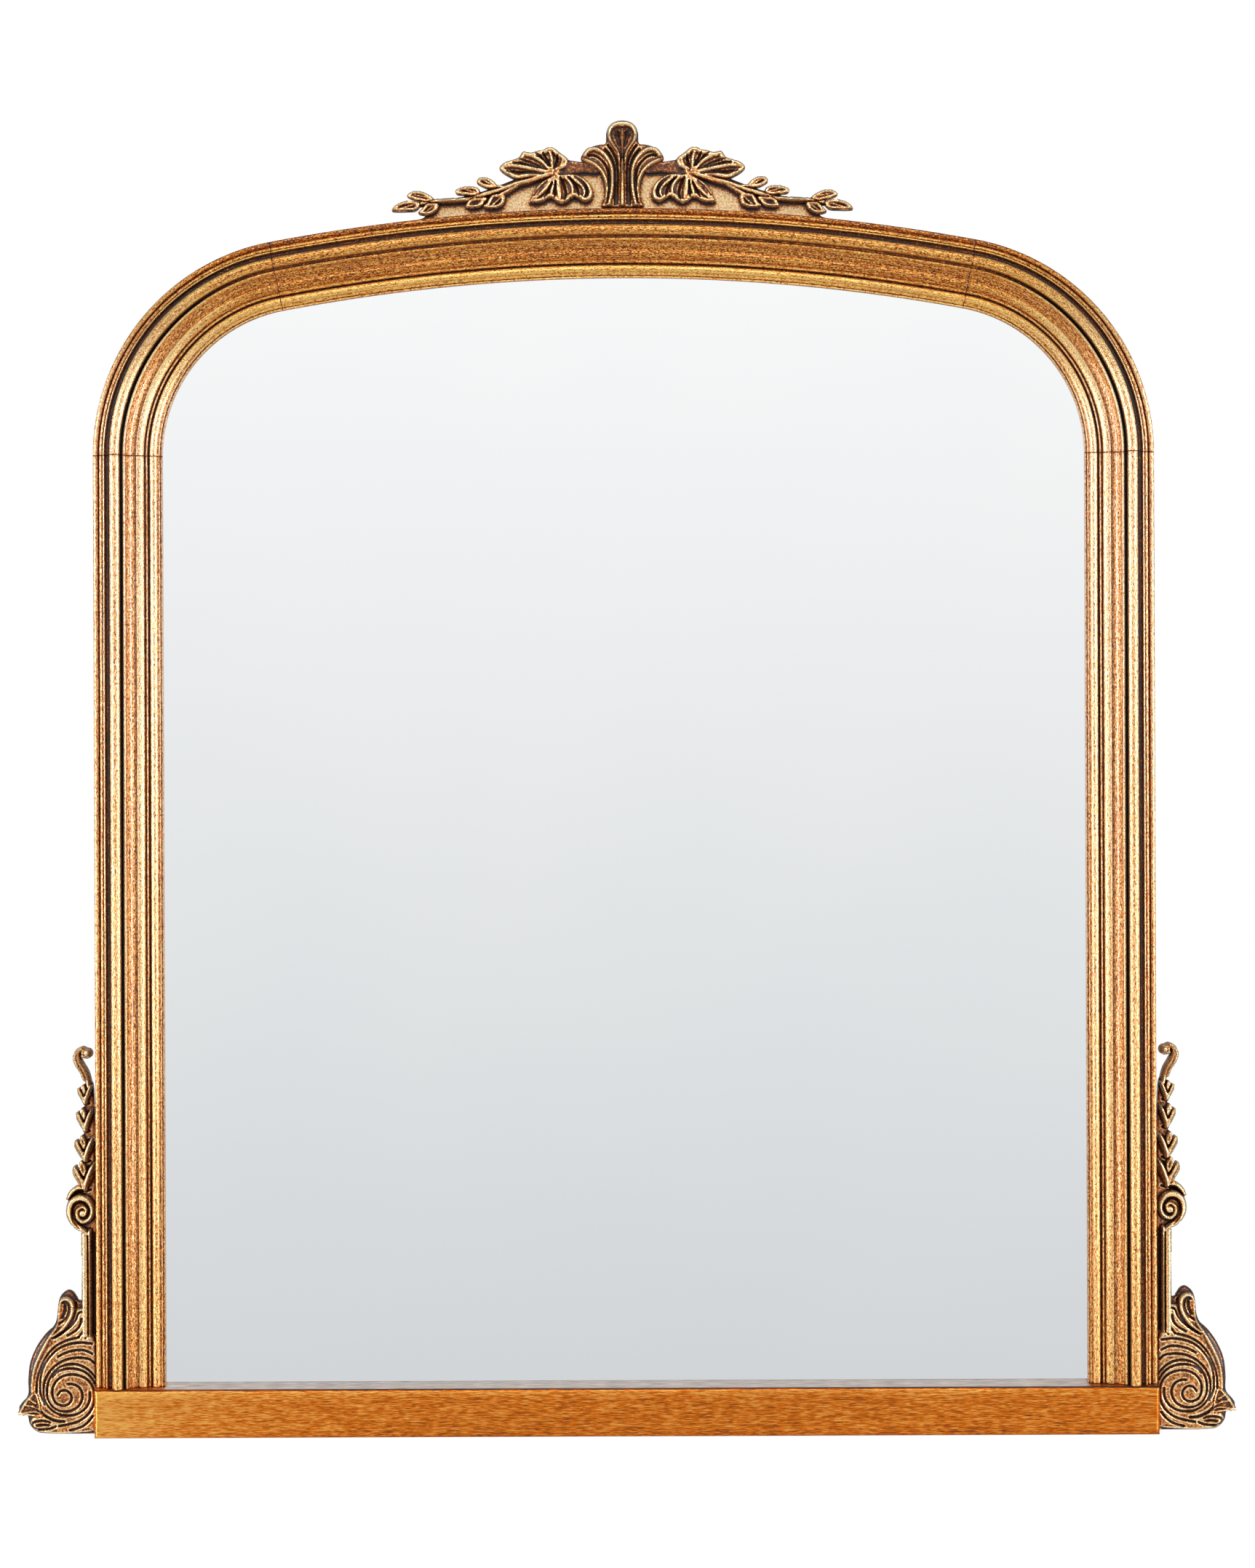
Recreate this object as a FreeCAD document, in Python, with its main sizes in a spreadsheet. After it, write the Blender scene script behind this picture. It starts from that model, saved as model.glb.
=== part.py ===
import FreeCAD, Part
import Sketcher
import math
import os

# Wall mirror: an arched gilt moulding on a plain bottom rail, with a carved crest
# and a carved scroll and husk drop on each side.
# X runs to the right, Z up, and the front faces -Y. The wall is the plane Y = 0.
# The origin is on the wall, halfway between the two hooks that the mirror hangs from.
# All sizes are in millimetres and all angles in degrees.

SIZES = {
    # Frame as a whole
    "frame_width": 782.0,
    "stile_length": 687.0,
    "corner_radius": 160.0,
    "crown_radius": 1420.0,
    "hanger_drop": 82.5,
    "stand_off": 8.0,
    # Bottom rail, a plain board
    "rail_height": 35.5,
    "rail_depth": 26.5,
    "rail_edge_round": 3.0,
    # Moulding, band by band from the outer edge inwards: widths, levels and bows
    "side_level": 14.5,
    "edge_bead_width": 3.2,
    "edge_bead_level": 14.8,
    "edge_bead_bow": 1.4,
    "edge_groove_width": 1.2,
    "edge_groove_level": 15.2,
    "second_bead_width": 2.4,
    "second_bead_level": 16.0,
    "second_bead_bow": 1.0,
    "fillet_groove_width": 0.7,
    "outer_fillet_width": 1.5,
    "outer_fillet_level": 20.0,
    "hollow_width": 3.6,
    "hollow_level": 18.6,
    "hollow_bow": 1.4,
    "torus_width": 8.0,
    "torus_level": 23.0,
    "torus_bow": 3.8,
    "deep_groove_width": 1.8,
    "deep_groove_level": 15.6,
    "inner_fillet_width": 1.7,
    "inner_fillet_level": 21.0,
    "cove_width": 7.5,
    "cove_level": 15.2,
    "cove_bow": 1.7,
    "ogee_width": 6.4,
    "ogee_level": 12.6,
    "ogee_bow": 1.8,
    "small_groove_width": 0.8,
    "small_groove_level": 12.0,
    "small_bead_width": 2.0,
    "small_bead_bow": 0.8,
    "inner_groove_width": 1.0,
    "inner_groove_level": 11.4,
    "inner_bead_width": 6.4,
    "inner_bead_level": 12.2,
    "inner_bead_bow": 2.6,
    "lip_width": 2.2,
    "lip_level": 10.4,
    # Rebate, glass and backing board
    "rebate_width": 8.0,
    "rebate_depth": 7.5,
    "glass_thickness": 4.0,
    "backing_thickness": 3.0,
    "glass_clearance": 1.0,
    # Dowels across the butt joints
    "dowel_radius": 4.0,
    "dowel_reach": 20.0,
    "dowel_end_room": 0.5,
    "bore_clearance": 0.1,
    "outer_dowel_inset": 12.0,
    "inner_dowel_inset": 31.0,
    "dowel_level": 7.6,
    # Seat between the frame and what is fixed to its edge
    "seat_gap": 0.2,
    # Crest: the drawing width is what the carver's drawing is scaled by
    "crest_drawing_width": 100.0,
    "crest_ground_top": 7.0,
    "crest_plate_top": 10.5,
    "crest_leaf_top": 15.5,
    "palmette_top": 17.5,
    # Side scrolls and husk drops
    "scroll_drawing_width": 100.0,
    "scroll_ground_top": 6.0,
    "scroll_rib_top": 13.0,
    "husk_drawing_width": 100.0,
    "husk_ground_top": 5.5,
    "husk_rib_top": 12.0,
    "carving_slope_width": 1.0,
    # Flat steel plates across the joints behind the carvings
    "plate_length": 34.0,
    "plate_width": 12.0,
    "plate_thickness": 1.6,
    "plate_hole_inset": 6.0,
    "plate_screw_radius": 1.5,
    "plate_screw_reach": 4.6,
    "plate_head_radius": 2.8,
    "plate_head_height": 1.4,
    "crest_plate_offset": 62.0,
    # Turn buttons that hold the backing board
    "button_reach": 23.0,
    "button_width": 11.0,
    "button_thickness": 1.6,
    "button_gap": 0.3,
    "button_inset": 31.0,
    "button_screw_radius": 1.6,
    "button_screw_reach": 9.0,
    "button_head_radius": 3.2,
    "button_head_height": 1.6,
    "button_low_height": 235.0,
    "button_high_height": 470.0,
    "rail_button_height": 14.0,
    "rail_button_spacing": 230.0,
    # Strap hangers with their rings
    "hanger_inset": 21.0,
    "strap_length": 44.0,
    "strap_width": 14.0,
    "strap_thickness": 1.2,
    "strap_first_hole": 14.0,
    "strap_second_hole": 36.0,
    "ring_wire_radius": 1.5,
    "ring_play": 0.3,
    "ring_half_width": 11.0,
    "ring_bar_end": 0.3,
    "hanger_screw_radius": 1.8,
    "hanger_screw_reach": 11.0,
    "hanger_head_radius": 3.3,
    "hanger_head_height": 1.5,
    # Bumpers that keep the foot of the frame off the wall
    "bumper_radius": 9.0,
    "bumper_inset": 26.0,
    "bumper_height": 16.0,
}

doc = FreeCAD.newDocument("wall_mirror")
sheet = doc.addObject("Spreadsheet::Sheet", "sizes")
for row, (name, number) in enumerate(SIZES.items(), start=1):
    sheet.set("A%d" % row, name)
    sheet.set("B%d" % row, str(number))
    sheet.setAlias("B%d" % row, name)
doc.recompute()


class Size:
    """A length: its number now, and the formula that the document keeps for it."""

    def __init__(self, number, formula):
        self.number = number
        self.formula = formula

    def joined(self, sign, other, number):
        return Size(number, "(%s %s %s)" % (self.formula, sign, other.formula))

    def __add__(self, other):
        other = as_size(other)
        return self.joined("+", other, self.number + other.number)

    def __sub__(self, other):
        other = as_size(other)
        return self.joined("-", other, self.number - other.number)

    def __mul__(self, other):
        other = as_size(other)
        return self.joined("*", other, self.number * other.number)

    def __truediv__(self, other):
        other = as_size(other)
        return self.joined("/", other, self.number / other.number)

    def __neg__(self):
        return ZERO - self


def as_size(value):
    """A plain number as a Size, so that it can stand in a formula."""
    return value if isinstance(value, Size) else Size(float(value), repr(float(value)))


def square_root(value):
    return Size(math.sqrt(value.number), "sqrt(%s)" % value.formula)


class Named:
    """Holds every size of the sheet under its own name."""


for name, number in SIZES.items():
    setattr(Named, name, Size(number, "sizes." + name))
d = Named
ZERO = as_size(0)
X_AXIS = FreeCAD.Vector(1, 0, 0)
Y_AXIS = FreeCAD.Vector(0, 1, 0)
Z_AXIS = FreeCAD.Vector(0, 0, 1)
LEFT = as_size(-1)
RIGHT = as_size(1)

# Places worked out from the sizes
half_width = d.frame_width / 2
back = -d.stand_off
spring = d.hanger_drop
rail_top = spring - d.stile_length
foot = rail_top - d.rail_height
corner_x = half_width - d.corner_radius
lean_sine = corner_x / (d.crown_radius - d.corner_radius)
lean_cosine = square_root(as_size(1) - lean_sine * lean_sine)
lean_angle = Size(math.degrees(math.asin(lean_sine.number)), "asin(%s)" % lean_sine.formula)
crown_z = spring - (d.crown_radius - d.corner_radius) * lean_cosine
apex = crown_z + d.crown_radius


def turned(angle, first_axis=X_AXIS, first_angle=0.0):
    """A turn about X or another axis first, and then about Y, which runs into the wall."""
    return FreeCAD.Rotation(Y_AXIS, angle) * FreeCAD.Rotation(first_axis, first_angle)


def facing_front(angle=0.0):
    """Lays a shape drawn flat so that its thickness grows towards the front."""
    return turned(angle, X_AXIS, 90)


def facing_wall(angle=0.0):
    """Lays a shape drawn flat so that its thickness grows towards the wall."""
    return turned(angle, X_AXIS, -90)


def place(item, base, turn):
    """Put an object at a point given as three sizes, with a turn."""
    item.Placement = FreeCAD.Placement(FreeCAD.Vector(*[part.number for part in base]), turn)
    for letter, part in zip("xyz", base):
        item.setExpression("Placement.Base." + letter, part.formula)
    return item


def bind(item, **values):
    """Tie properties of an object to sizes."""
    for key, value in values.items():
        item.setExpression(key, value.formula)
    return item


def new_body(label):
    body = doc.addObject("PartDesign::Body", label)
    body.Label = label
    return body


def new_sketch(body, label):
    """A sketch on the body's own XY plane."""
    sketch = body.newObject("Sketcher::SketchObject", label)
    plane = [item for item in body.Origin.OriginFeatures if item.Role == "XY_Plane"][0]
    sketch.AttachmentSupport = [(plane, "")]
    sketch.MapMode = "FlatFace"
    return sketch


def constrain(sketch, value, *details):
    """Add one dimension to a sketch and tie it to a size."""
    number = sketch.addConstraint(Sketcher.Constraint(*details, value.number))
    sketch.setExpression("Constraints[%d]" % number, value.formula)


def bow_radius(start, end, bow):
    """Radius of the arc between two points that bulges by the bow."""
    run = end[0] - start[0]
    rise = end[1] - start[1]
    return (run * run + rise * rise) / (bow * 8) + bow / 2


def draw_outline(sketch, points, arcs):
    """Draw a closed outline through points. arcs gives a segment's radius and its side:
    1 where it turns left as the outline runs on, and -1 where it turns right. A radius of
    None is a half circle."""
    ends = []
    for index, start in enumerate(points):
        end = points[(index + 1) % len(points)]
        head = FreeCAD.Vector(start[0].number, start[1].number, 0)
        tail = FreeCAD.Vector(end[0].number, end[1].number, 0)
        if index not in arcs:
            ends.append((sketch.addGeometry(Part.LineSegment(head, tail), False), 1, 2))
            continue
        radius, side = arcs[index]
        chord = tail - head
        left = FreeCAD.Vector(-chord.y, chord.x, 0).normalize()
        length = radius.number if radius else chord.Length / 2
        reach = math.sqrt(max(length ** 2 - chord.Length ** 2 / 4, 0))
        centre = (head + tail) / 2 + left * (reach * side)
        first, last = (head, tail) if side > 0 else (tail, head)
        begin = math.atan2(first.y - centre.y, first.x - centre.x)
        finish = math.atan2(last.y - centre.y, last.x - centre.x)
        circle = Part.Circle(centre, Z_AXIS, length)
        number = sketch.addGeometry(Part.ArcOfCircle(circle, begin, finish), False)
        if radius:
            constrain(sketch, radius, "Radius", number)
        else:
            free = 0 if abs(chord.x) < abs(chord.y) else 1
            constrain(sketch, (start[free] + end[free]) / 2,
                      ("DistanceX", "DistanceY")[free], -1, 1, number, 3)
        ends.append((number, 1, 2) if side > 0 else (number, 2, 1))
    for index, (number, first, _) in enumerate(ends):
        before, _, last = ends[index - 1]
        sketch.addConstraint(Sketcher.Constraint("Coincident", before, last, number, first))
        constrain(sketch, points[index][0], "DistanceX", -1, 1, number, first)
        constrain(sketch, points[index][1], "DistanceY", -1, 1, number, first)


def draw_circle(sketch, x, y, radius):
    centre = FreeCAD.Vector(x.number, y.number, 0)
    number = sketch.addGeometry(Part.Circle(centre, Z_AXIS, radius.number), False)
    constrain(sketch, x, "DistanceX", -1, 1, number, 3)
    constrain(sketch, y, "DistanceY", -1, 1, number, 3)
    constrain(sketch, radius, "Radius", number)


def pad(body, sketch, length):
    """Thicken a sketch."""
    item = body.newObject("PartDesign::Pad", "pad_of_" + body.Label)
    item.Profile = sketch
    return bind(item, Length=length)


def cylinder(label, base, turn, radius, height):
    item = doc.addObject("Part::Cylinder", label)
    bind(item, Radius=radius, Height=height)
    return place(item, base, turn)


def group(label, members):
    """Separate solids that share one node."""
    item = doc.addObject("Part::Compound", label)
    item.Label = label
    item.Links = members
    return item


def bored(label, base, tools):
    """Cut bores out of a piece."""
    base.Label = label + "_blank"
    item = doc.addObject("Part::Cut", label)
    item.Base = base
    item.Tool = group(label + "_bores", tools)
    item.Label = label
    return item


# Moulding section. Each band has a width, its level where it starts and where it ends, its
# form, and how far it bulges: a bead or a ridge stands out, and a cove or a valley is sunk.
# Beads and coves are round. Ridges and valleys have two flat flanks.
BANDS = (
    (d.edge_bead_width, d.side_level, d.edge_bead_level, "bead", d.edge_bead_bow),
    (d.edge_groove_width, d.edge_bead_level, d.edge_groove_level, "flat", ZERO),
    (d.second_bead_width, d.edge_groove_level, d.second_bead_level, "ridge", d.second_bead_bow),
    (d.fillet_groove_width, d.second_bead_level, d.second_bead_level, "flat", ZERO),
    (d.outer_fillet_width, d.outer_fillet_level, d.outer_fillet_level, "flat", ZERO),
    (d.hollow_width, d.hollow_level, d.hollow_level, "valley", d.hollow_bow),
    (d.torus_width, d.torus_level, d.torus_level, "bead", d.torus_bow),
    (d.deep_groove_width, d.deep_groove_level, d.deep_groove_level, "flat", ZERO),
    (d.inner_fillet_width, d.inner_fillet_level, d.inner_fillet_level, "flat", ZERO),
    (d.cove_width, d.inner_fillet_level, d.cove_level, "cove", d.cove_bow),
    (d.ogee_width, d.cove_level, d.ogee_level, "bead", d.ogee_bow),
    (d.small_groove_width, d.small_groove_level, d.small_groove_level, "flat", ZERO),
    (d.small_bead_width, d.small_groove_level, d.inner_groove_level, "ridge", d.small_bead_bow),
    (d.inner_groove_width, d.inner_groove_level, d.inner_groove_level, "flat", ZERO),
    (d.inner_bead_width, d.inner_groove_level, d.inner_bead_level, "bead", d.inner_bead_bow),
    (d.lip_width, d.inner_bead_level, d.lip_level, "flat", ZERO),
)


def moulding_section():
    """Points of the section as inset and level, and its arcs by segment."""
    points = [(ZERO, ZERO), (ZERO, d.side_level)]
    arcs = {}
    inset = ZERO
    level = d.side_level
    for width, start_level, end_level, form, bow in BANDS:
        if start_level is not level:
            points.append((inset, start_level))
        start = (inset, start_level)
        end = (inset + width, end_level)
        middle = (start_level + end_level) / 2
        if form in ("bead", "cove"):
            arcs[len(points) - 1] = (bow_radius(start, end, bow), -1 if form == "bead" else 1)
        elif form in ("ridge", "valley"):
            points.append((inset + width / 2, middle + bow if form == "ridge" else middle - bow))
        points.append(end)
        inset, level = end
    rebate_inset = inset - d.rebate_width
    points += [(inset, d.rebate_depth), (rebate_inset, d.rebate_depth), (rebate_inset, ZERO)]
    return points, arcs, inset


SECTION_POINTS, SECTION_ARCS, moulding_width = moulding_section()
rebate_inset = moulding_width - d.rebate_width


def stile_blank(label, base, turn):
    """A straight length of moulding."""
    body = new_body(label)
    sketch = new_sketch(body, "section_of_" + label)
    draw_outline(sketch, SECTION_POINTS, SECTION_ARCS)
    pad(body, sketch, d.stile_length)
    return place(body, base, turn)


def arch_blank(label, radius, sweep, base, middle):
    """A curved length of moulding, turned about the arch's centre. middle is the way
    from that centre to the middle of the piece, in degrees up from X."""
    body = new_body(label)
    sketch = new_sketch(body, "section_of_" + label)
    points = [(radius - inset, level) for inset, level in SECTION_POINTS]
    arcs = {index: (size, -side) for index, (size, side) in SECTION_ARCS.items()}
    draw_outline(sketch, points, arcs)
    turn = body.newObject("PartDesign::Revolution", "sweep_of_" + label)
    turn.Profile = sketch
    turn.ReferenceAxis = (sketch, ["V_Axis"])
    turn.Midplane = True
    bind(turn, Angle=sweep)
    return place(body, base, turned(-middle, X_AXIS, 180))


# Dowel joints: where each dowel crosses its joint, and which way it runs
def straight_joint(side, joint_z):
    insets = (d.outer_dowel_inset, d.inner_dowel_inset)
    return [((half_width - inset) * side, joint_z, ZERO, as_size(1)) for inset in insets]


def crown_joint(side):
    insets = (d.outer_dowel_inset, d.inner_dowel_inset)
    reaches = [d.crown_radius - inset for inset in insets]
    return [(reach * lean_sine * side, crown_z + reach * lean_cosine,
             lean_cosine * side, -lean_sine) for reach in reaches]


def dowel_cylinders(label, joint, radius, reach):
    """Cylinders that lie across a joint, as dowels or as their bores."""
    rods = []
    for number, (x, z, run, rise) in enumerate(joint, start=1):
        base = (x - run * reach, back - d.dowel_level, z - rise * reach)
        turn = FreeCAD.Rotation(Z_AXIS, FreeCAD.Vector(run.number, 0, rise.number))
        rods.append(cylinder("%s_%d" % (label, number), base, turn, radius, reach * 2))
    return rods


def dowel_bores(label, joint):
    return dowel_cylinders(label, joint, d.dowel_radius + d.bore_clearance,
                           d.dowel_reach + d.dowel_end_room)


def screw_bores(label, places, radius, reach):
    """Blind bores from the back, one for each place."""
    return [cylinder("%s_%d" % (label, number), (x, back, z), facing_front(),
                     radius + d.bore_clearance, reach + d.dowel_end_room)
            for number, (x, z) in enumerate(places, start=1)]


def screws(label, places, radius, reach, head_radius, head_height, seat_level):
    """Round-headed screws driven from the back. seat_level is how far behind the frame's
    back the undersides of their heads are."""
    members = []
    for number, (x, z) in enumerate(places, start=1):
        name = "%s_%d" % (label, number)
        seat = (x, back + seat_level, z)
        shank = cylinder(name + "_shank", seat, facing_front(), radius, reach + seat_level)
        head = cylinder(name + "_head", seat, facing_wall(), head_radius, head_height)
        whole = doc.addObject("Part::Fuse", name)
        whole.Base = shank
        whole.Tool = head
        members.append(whole)
    return group(label, members)


# Where the fastenings on the back are
diagonal = square_root(as_size(0.5))
corner_reach = (d.corner_radius - d.button_inset) * diagonal
BUTTONS = {
    "left_lower_turn_button": (-(half_width - d.button_inset), foot + d.button_low_height, 0),
    "left_upper_turn_button": (-(half_width - d.button_inset), foot + d.button_high_height, 0),
    "left_corner_turn_button": (-(corner_x + corner_reach), spring + corner_reach, 45),
    "crown_turn_button": (ZERO, apex - d.button_inset, 90),
    "right_corner_turn_button": (corner_x + corner_reach, spring + corner_reach, 135),
    "right_upper_turn_button": (half_width - d.button_inset, foot + d.button_high_height, 180),
    "right_lower_turn_button": (half_width - d.button_inset, foot + d.button_low_height, 180),
    "rail_right_turn_button": (d.rail_button_spacing, foot + d.rail_button_height, -90),
    "rail_middle_turn_button": (ZERO, foot + d.rail_button_height, -90),
    "rail_left_turn_button": (-d.rail_button_spacing, foot + d.rail_button_height, -90),
}
ring_bar_z = -(d.ring_half_width - d.ring_wire_radius)
ring_bar_y = back + d.ring_wire_radius + d.ring_play + d.strap_thickness
crest_joint_radius = d.crown_radius + d.seat_gap / 2
crest_joint_z = crown_z + square_root(crest_joint_radius * crest_joint_radius
                                      - d.crest_plate_offset * d.crest_plate_offset)
screw_spread = d.plate_length / 2 - d.plate_hole_inset


def hanger_holes(side):
    x = (half_width - d.hanger_inset) * side
    return [(x, ring_bar_z - hole) for hole in (d.strap_first_hole, d.strap_second_hole)]


# How high up a scroll its steel plate is, as a share of the drawing width
SCROLL_PLATE_SHARE = 0.66


def scroll_plate_centre(side):
    return (half_width + d.seat_gap / 2) * side, foot + d.scroll_drawing_width * SCROLL_PLATE_SHARE


def button_place(name):
    return [BUTTONS[name][:2]]


def stile_screw_bores(label, side, buttons):
    """Bores for the hanger, the turn buttons and the plates on one stile."""
    x, z = scroll_plate_centre(side)
    inner = [(x - screw_spread * side, z)]
    holders = [place_of for name in buttons for place_of in button_place(name)]
    return (screw_bores(label + "_hanger_bore", hanger_holes(side),
                        d.hanger_screw_radius, d.hanger_screw_reach)
            + screw_bores(label + "_button_bore", holders,
                          d.button_screw_radius, d.button_screw_reach)
            + screw_bores(label + "_plate_bore", inner,
                          d.plate_screw_radius, d.plate_screw_reach))


# Stiles
left_x = -half_width
bored("left_stile", stile_blank("left_stile_moulding", (left_x, back, spring), turned(0, X_AXIS, 180)),
      dowel_bores("left_foot_bore", straight_joint(LEFT, rail_top))
      + dowel_bores("left_spring_bore", straight_joint(LEFT, spring))
      + stile_screw_bores("left", LEFT, ("left_lower_turn_button", "left_upper_turn_button")))
bored("right_stile", stile_blank("right_stile_moulding", (half_width, back, rail_top),
                                 turned(0, Z_AXIS, 180)),
      dowel_bores("right_foot_bore", straight_joint(RIGHT, rail_top))
      + dowel_bores("right_spring_bore", straight_joint(RIGHT, spring))
      + stile_screw_bores("right", RIGHT, ("right_lower_turn_button", "right_upper_turn_button")))

# Arch in three lengths
corner_sweep = Size(90.0, "90 deg") - lean_angle
left_middle = 180 - corner_sweep.number / 2
bored("left_corner_arch",
      arch_blank("left_corner_moulding", d.corner_radius, corner_sweep,
                 (-corner_x, back, spring), left_middle),
      dowel_bores("left_arch_spring_bore", straight_joint(LEFT, spring))
      + dowel_bores("left_arch_crown_bore", crown_joint(LEFT))
      + screw_bores("left_arch_button_bore", button_place("left_corner_turn_button"),
                    d.button_screw_radius, d.button_screw_reach))
bored("right_corner_arch",
      arch_blank("right_corner_moulding", d.corner_radius, corner_sweep,
                 (corner_x, back, spring), 180 - left_middle),
      dowel_bores("right_arch_spring_bore", straight_joint(RIGHT, spring))
      + dowel_bores("right_arch_crown_bore", crown_joint(RIGHT))
      + screw_bores("right_arch_button_bore", button_place("right_corner_turn_button"),
                    d.button_screw_radius, d.button_screw_reach))
crest_screws_below = [(d.crest_plate_offset * side, crest_joint_z - screw_spread)
                      for side in (LEFT, RIGHT)]
crest_screws_above = [(d.crest_plate_offset * side, crest_joint_z + screw_spread)
                      for side in (LEFT, RIGHT)]
bored("crown_arch",
      arch_blank("crown_moulding", d.crown_radius, lean_angle * 2, (ZERO, back, crown_z), 90),
      dowel_bores("crown_left_bore", crown_joint(LEFT))
      + dowel_bores("crown_right_bore", crown_joint(RIGHT))
      + screw_bores("crown_button_bore", button_place("crown_turn_button"),
                    d.button_screw_radius, d.button_screw_reach)
      + screw_bores("crown_plate_bore", crest_screws_below,
                    d.plate_screw_radius, d.plate_screw_reach))


def rail_blank():
    """The bottom rail: a board with its front edges eased, and the glass rebate."""
    body = new_body("rail_board")
    sketch = new_sketch(body, "rail_outline")
    draw_outline(sketch, [(-half_width, ZERO), (half_width, ZERO),
                          (half_width, d.rail_height), (-half_width, d.rail_height)], {})
    board = pad(body, sketch, d.rail_depth)
    doc.recompute()
    eased = []
    for number, edge in enumerate(board.Shape.Edges, start=1):
        if all(abs(vertex.Z - d.rail_depth.number) < d.seat_gap.number for vertex in edge.Vertexes):
            eased.append("Edge%d" % number)
    rounding = body.newObject("PartDesign::Fillet", "rail_rounding")
    rounding.Base = (board, eased)
    bind(rounding, Radius=d.rail_edge_round)
    rebate_sketch = new_sketch(body, "rail_rebate_outline")
    half_rebate = half_width - rebate_inset
    floor = d.rail_height - d.rebate_width
    draw_outline(rebate_sketch, [(-half_rebate, floor), (half_rebate, floor),
                                 (half_rebate, d.rail_height), (-half_rebate, d.rail_height)], {})
    rebate = body.newObject("PartDesign::Pocket", "rail_rebate")
    rebate.Profile = rebate_sketch
    rebate.Reversed = True
    bind(rebate, Length=d.rebate_depth)
    return place(body, (ZERO, back, foot), facing_front())


RAIL_BUTTONS = [name for name in BUTTONS if name.startswith("rail_")]
bored("bottom_rail", rail_blank(),
      dowel_bores("rail_left_bore", straight_joint(LEFT, rail_top))
      + dowel_bores("rail_right_bore", straight_joint(RIGHT, rail_top))
      + screw_bores("rail_button_bore", [BUTTONS[name][:2] for name in RAIL_BUTTONS],
                    d.button_screw_radius, d.button_screw_reach))

# Dowels
for label, joint in (("left_foot_dowels", straight_joint(LEFT, rail_top)),
                     ("right_foot_dowels", straight_joint(RIGHT, rail_top)),
                     ("left_spring_dowels", straight_joint(LEFT, spring)),
                     ("right_spring_dowels", straight_joint(RIGHT, spring)),
                     ("left_crown_dowels", crown_joint(LEFT)),
                     ("right_crown_dowels", crown_joint(RIGHT))):
    group(label, dowel_cylinders(label[:-1], joint, d.dowel_radius, d.dowel_reach))


def panel(label, level, thickness):
    """An arched panel that fits the rebate: the glass or its backing board."""
    inset = rebate_inset + d.glass_clearance
    side = half_width - inset
    bottom = rail_top - d.rebate_width + d.glass_clearance
    corner = d.corner_radius - inset
    shoulder_x = corner_x + corner * lean_sine
    shoulder_z = spring + corner * lean_cosine
    body = new_body(label)
    sketch = new_sketch(body, "outline_of_" + label)
    draw_outline(sketch, [(-side, bottom), (side, bottom), (side, spring), (shoulder_x, shoulder_z),
                          (-shoulder_x, shoulder_z), (-side, spring)],
                 {2: (corner, 1), 3: (d.crown_radius - inset, 1), 4: (corner, 1)})
    pad(body, sketch, thickness)
    return place(body, (ZERO, back - level, ZERO), facing_front())


panel("mirror_glass", d.rebate_depth - d.glass_thickness, d.glass_thickness)
panel("backing_board", ZERO, d.backing_thickness)


def flat_bar(label, start, end, width, thickness, holes, hole_radius, base, turn):
    """A flat strip with round ends, drawn along X from start to end, with round holes."""
    body = new_body(label)
    sketch = new_sketch(body, "outline_of_" + label)
    half = width / 2
    draw_outline(sketch, [(start + half, -half), (end - half, -half),
                          (end - half, half), (start + half, half)],
                 {1: (None, 1), 3: (None, 1)})
    for hole in holes:
        draw_circle(sketch, hole, ZERO, hole_radius)
    pad(body, sketch, thickness)
    return place(body, base, turn)


def mending_plate(label, x, z, angle):
    half = d.plate_length / 2
    return flat_bar(label, -half, half, d.plate_width, d.plate_thickness,
                    (-screw_spread, screw_spread), d.plate_screw_radius + d.bore_clearance,
                    (x, back, z), facing_wall(angle))


for word, side in (("left", LEFT), ("right", RIGHT)):
    mending_plate(word + "_crest_plate", d.crest_plate_offset * side, crest_joint_z, 90)
    mending_plate(word + "_scroll_plate", *scroll_plate_centre(side), 0)
plate_places = crest_screws_below + crest_screws_above
plate_places += [(x + screw_spread * way, z) for x, z in map(scroll_plate_centre, (LEFT, RIGHT))
                 for way in (LEFT, RIGHT)]
screws("plate_screws", plate_places, d.plate_screw_radius, d.plate_screw_reach,
       d.plate_head_radius, d.plate_head_height, d.plate_thickness)

# Turn buttons, each loose on its own screw
for label, (x, z, angle) in BUTTONS.items():
    flat_bar(label, -d.button_width / 2, d.button_reach, d.button_width, d.button_thickness,
             (ZERO,), d.button_screw_radius + d.button_gap,
             (x, back + d.button_gap, z), facing_wall(angle))
screws("turn_button_screws", [spot[:2] for spot in BUTTONS.values()],
       d.button_screw_radius, d.button_screw_reach, d.button_head_radius,
       d.button_head_height, d.button_thickness + d.button_gap * 2)


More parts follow.
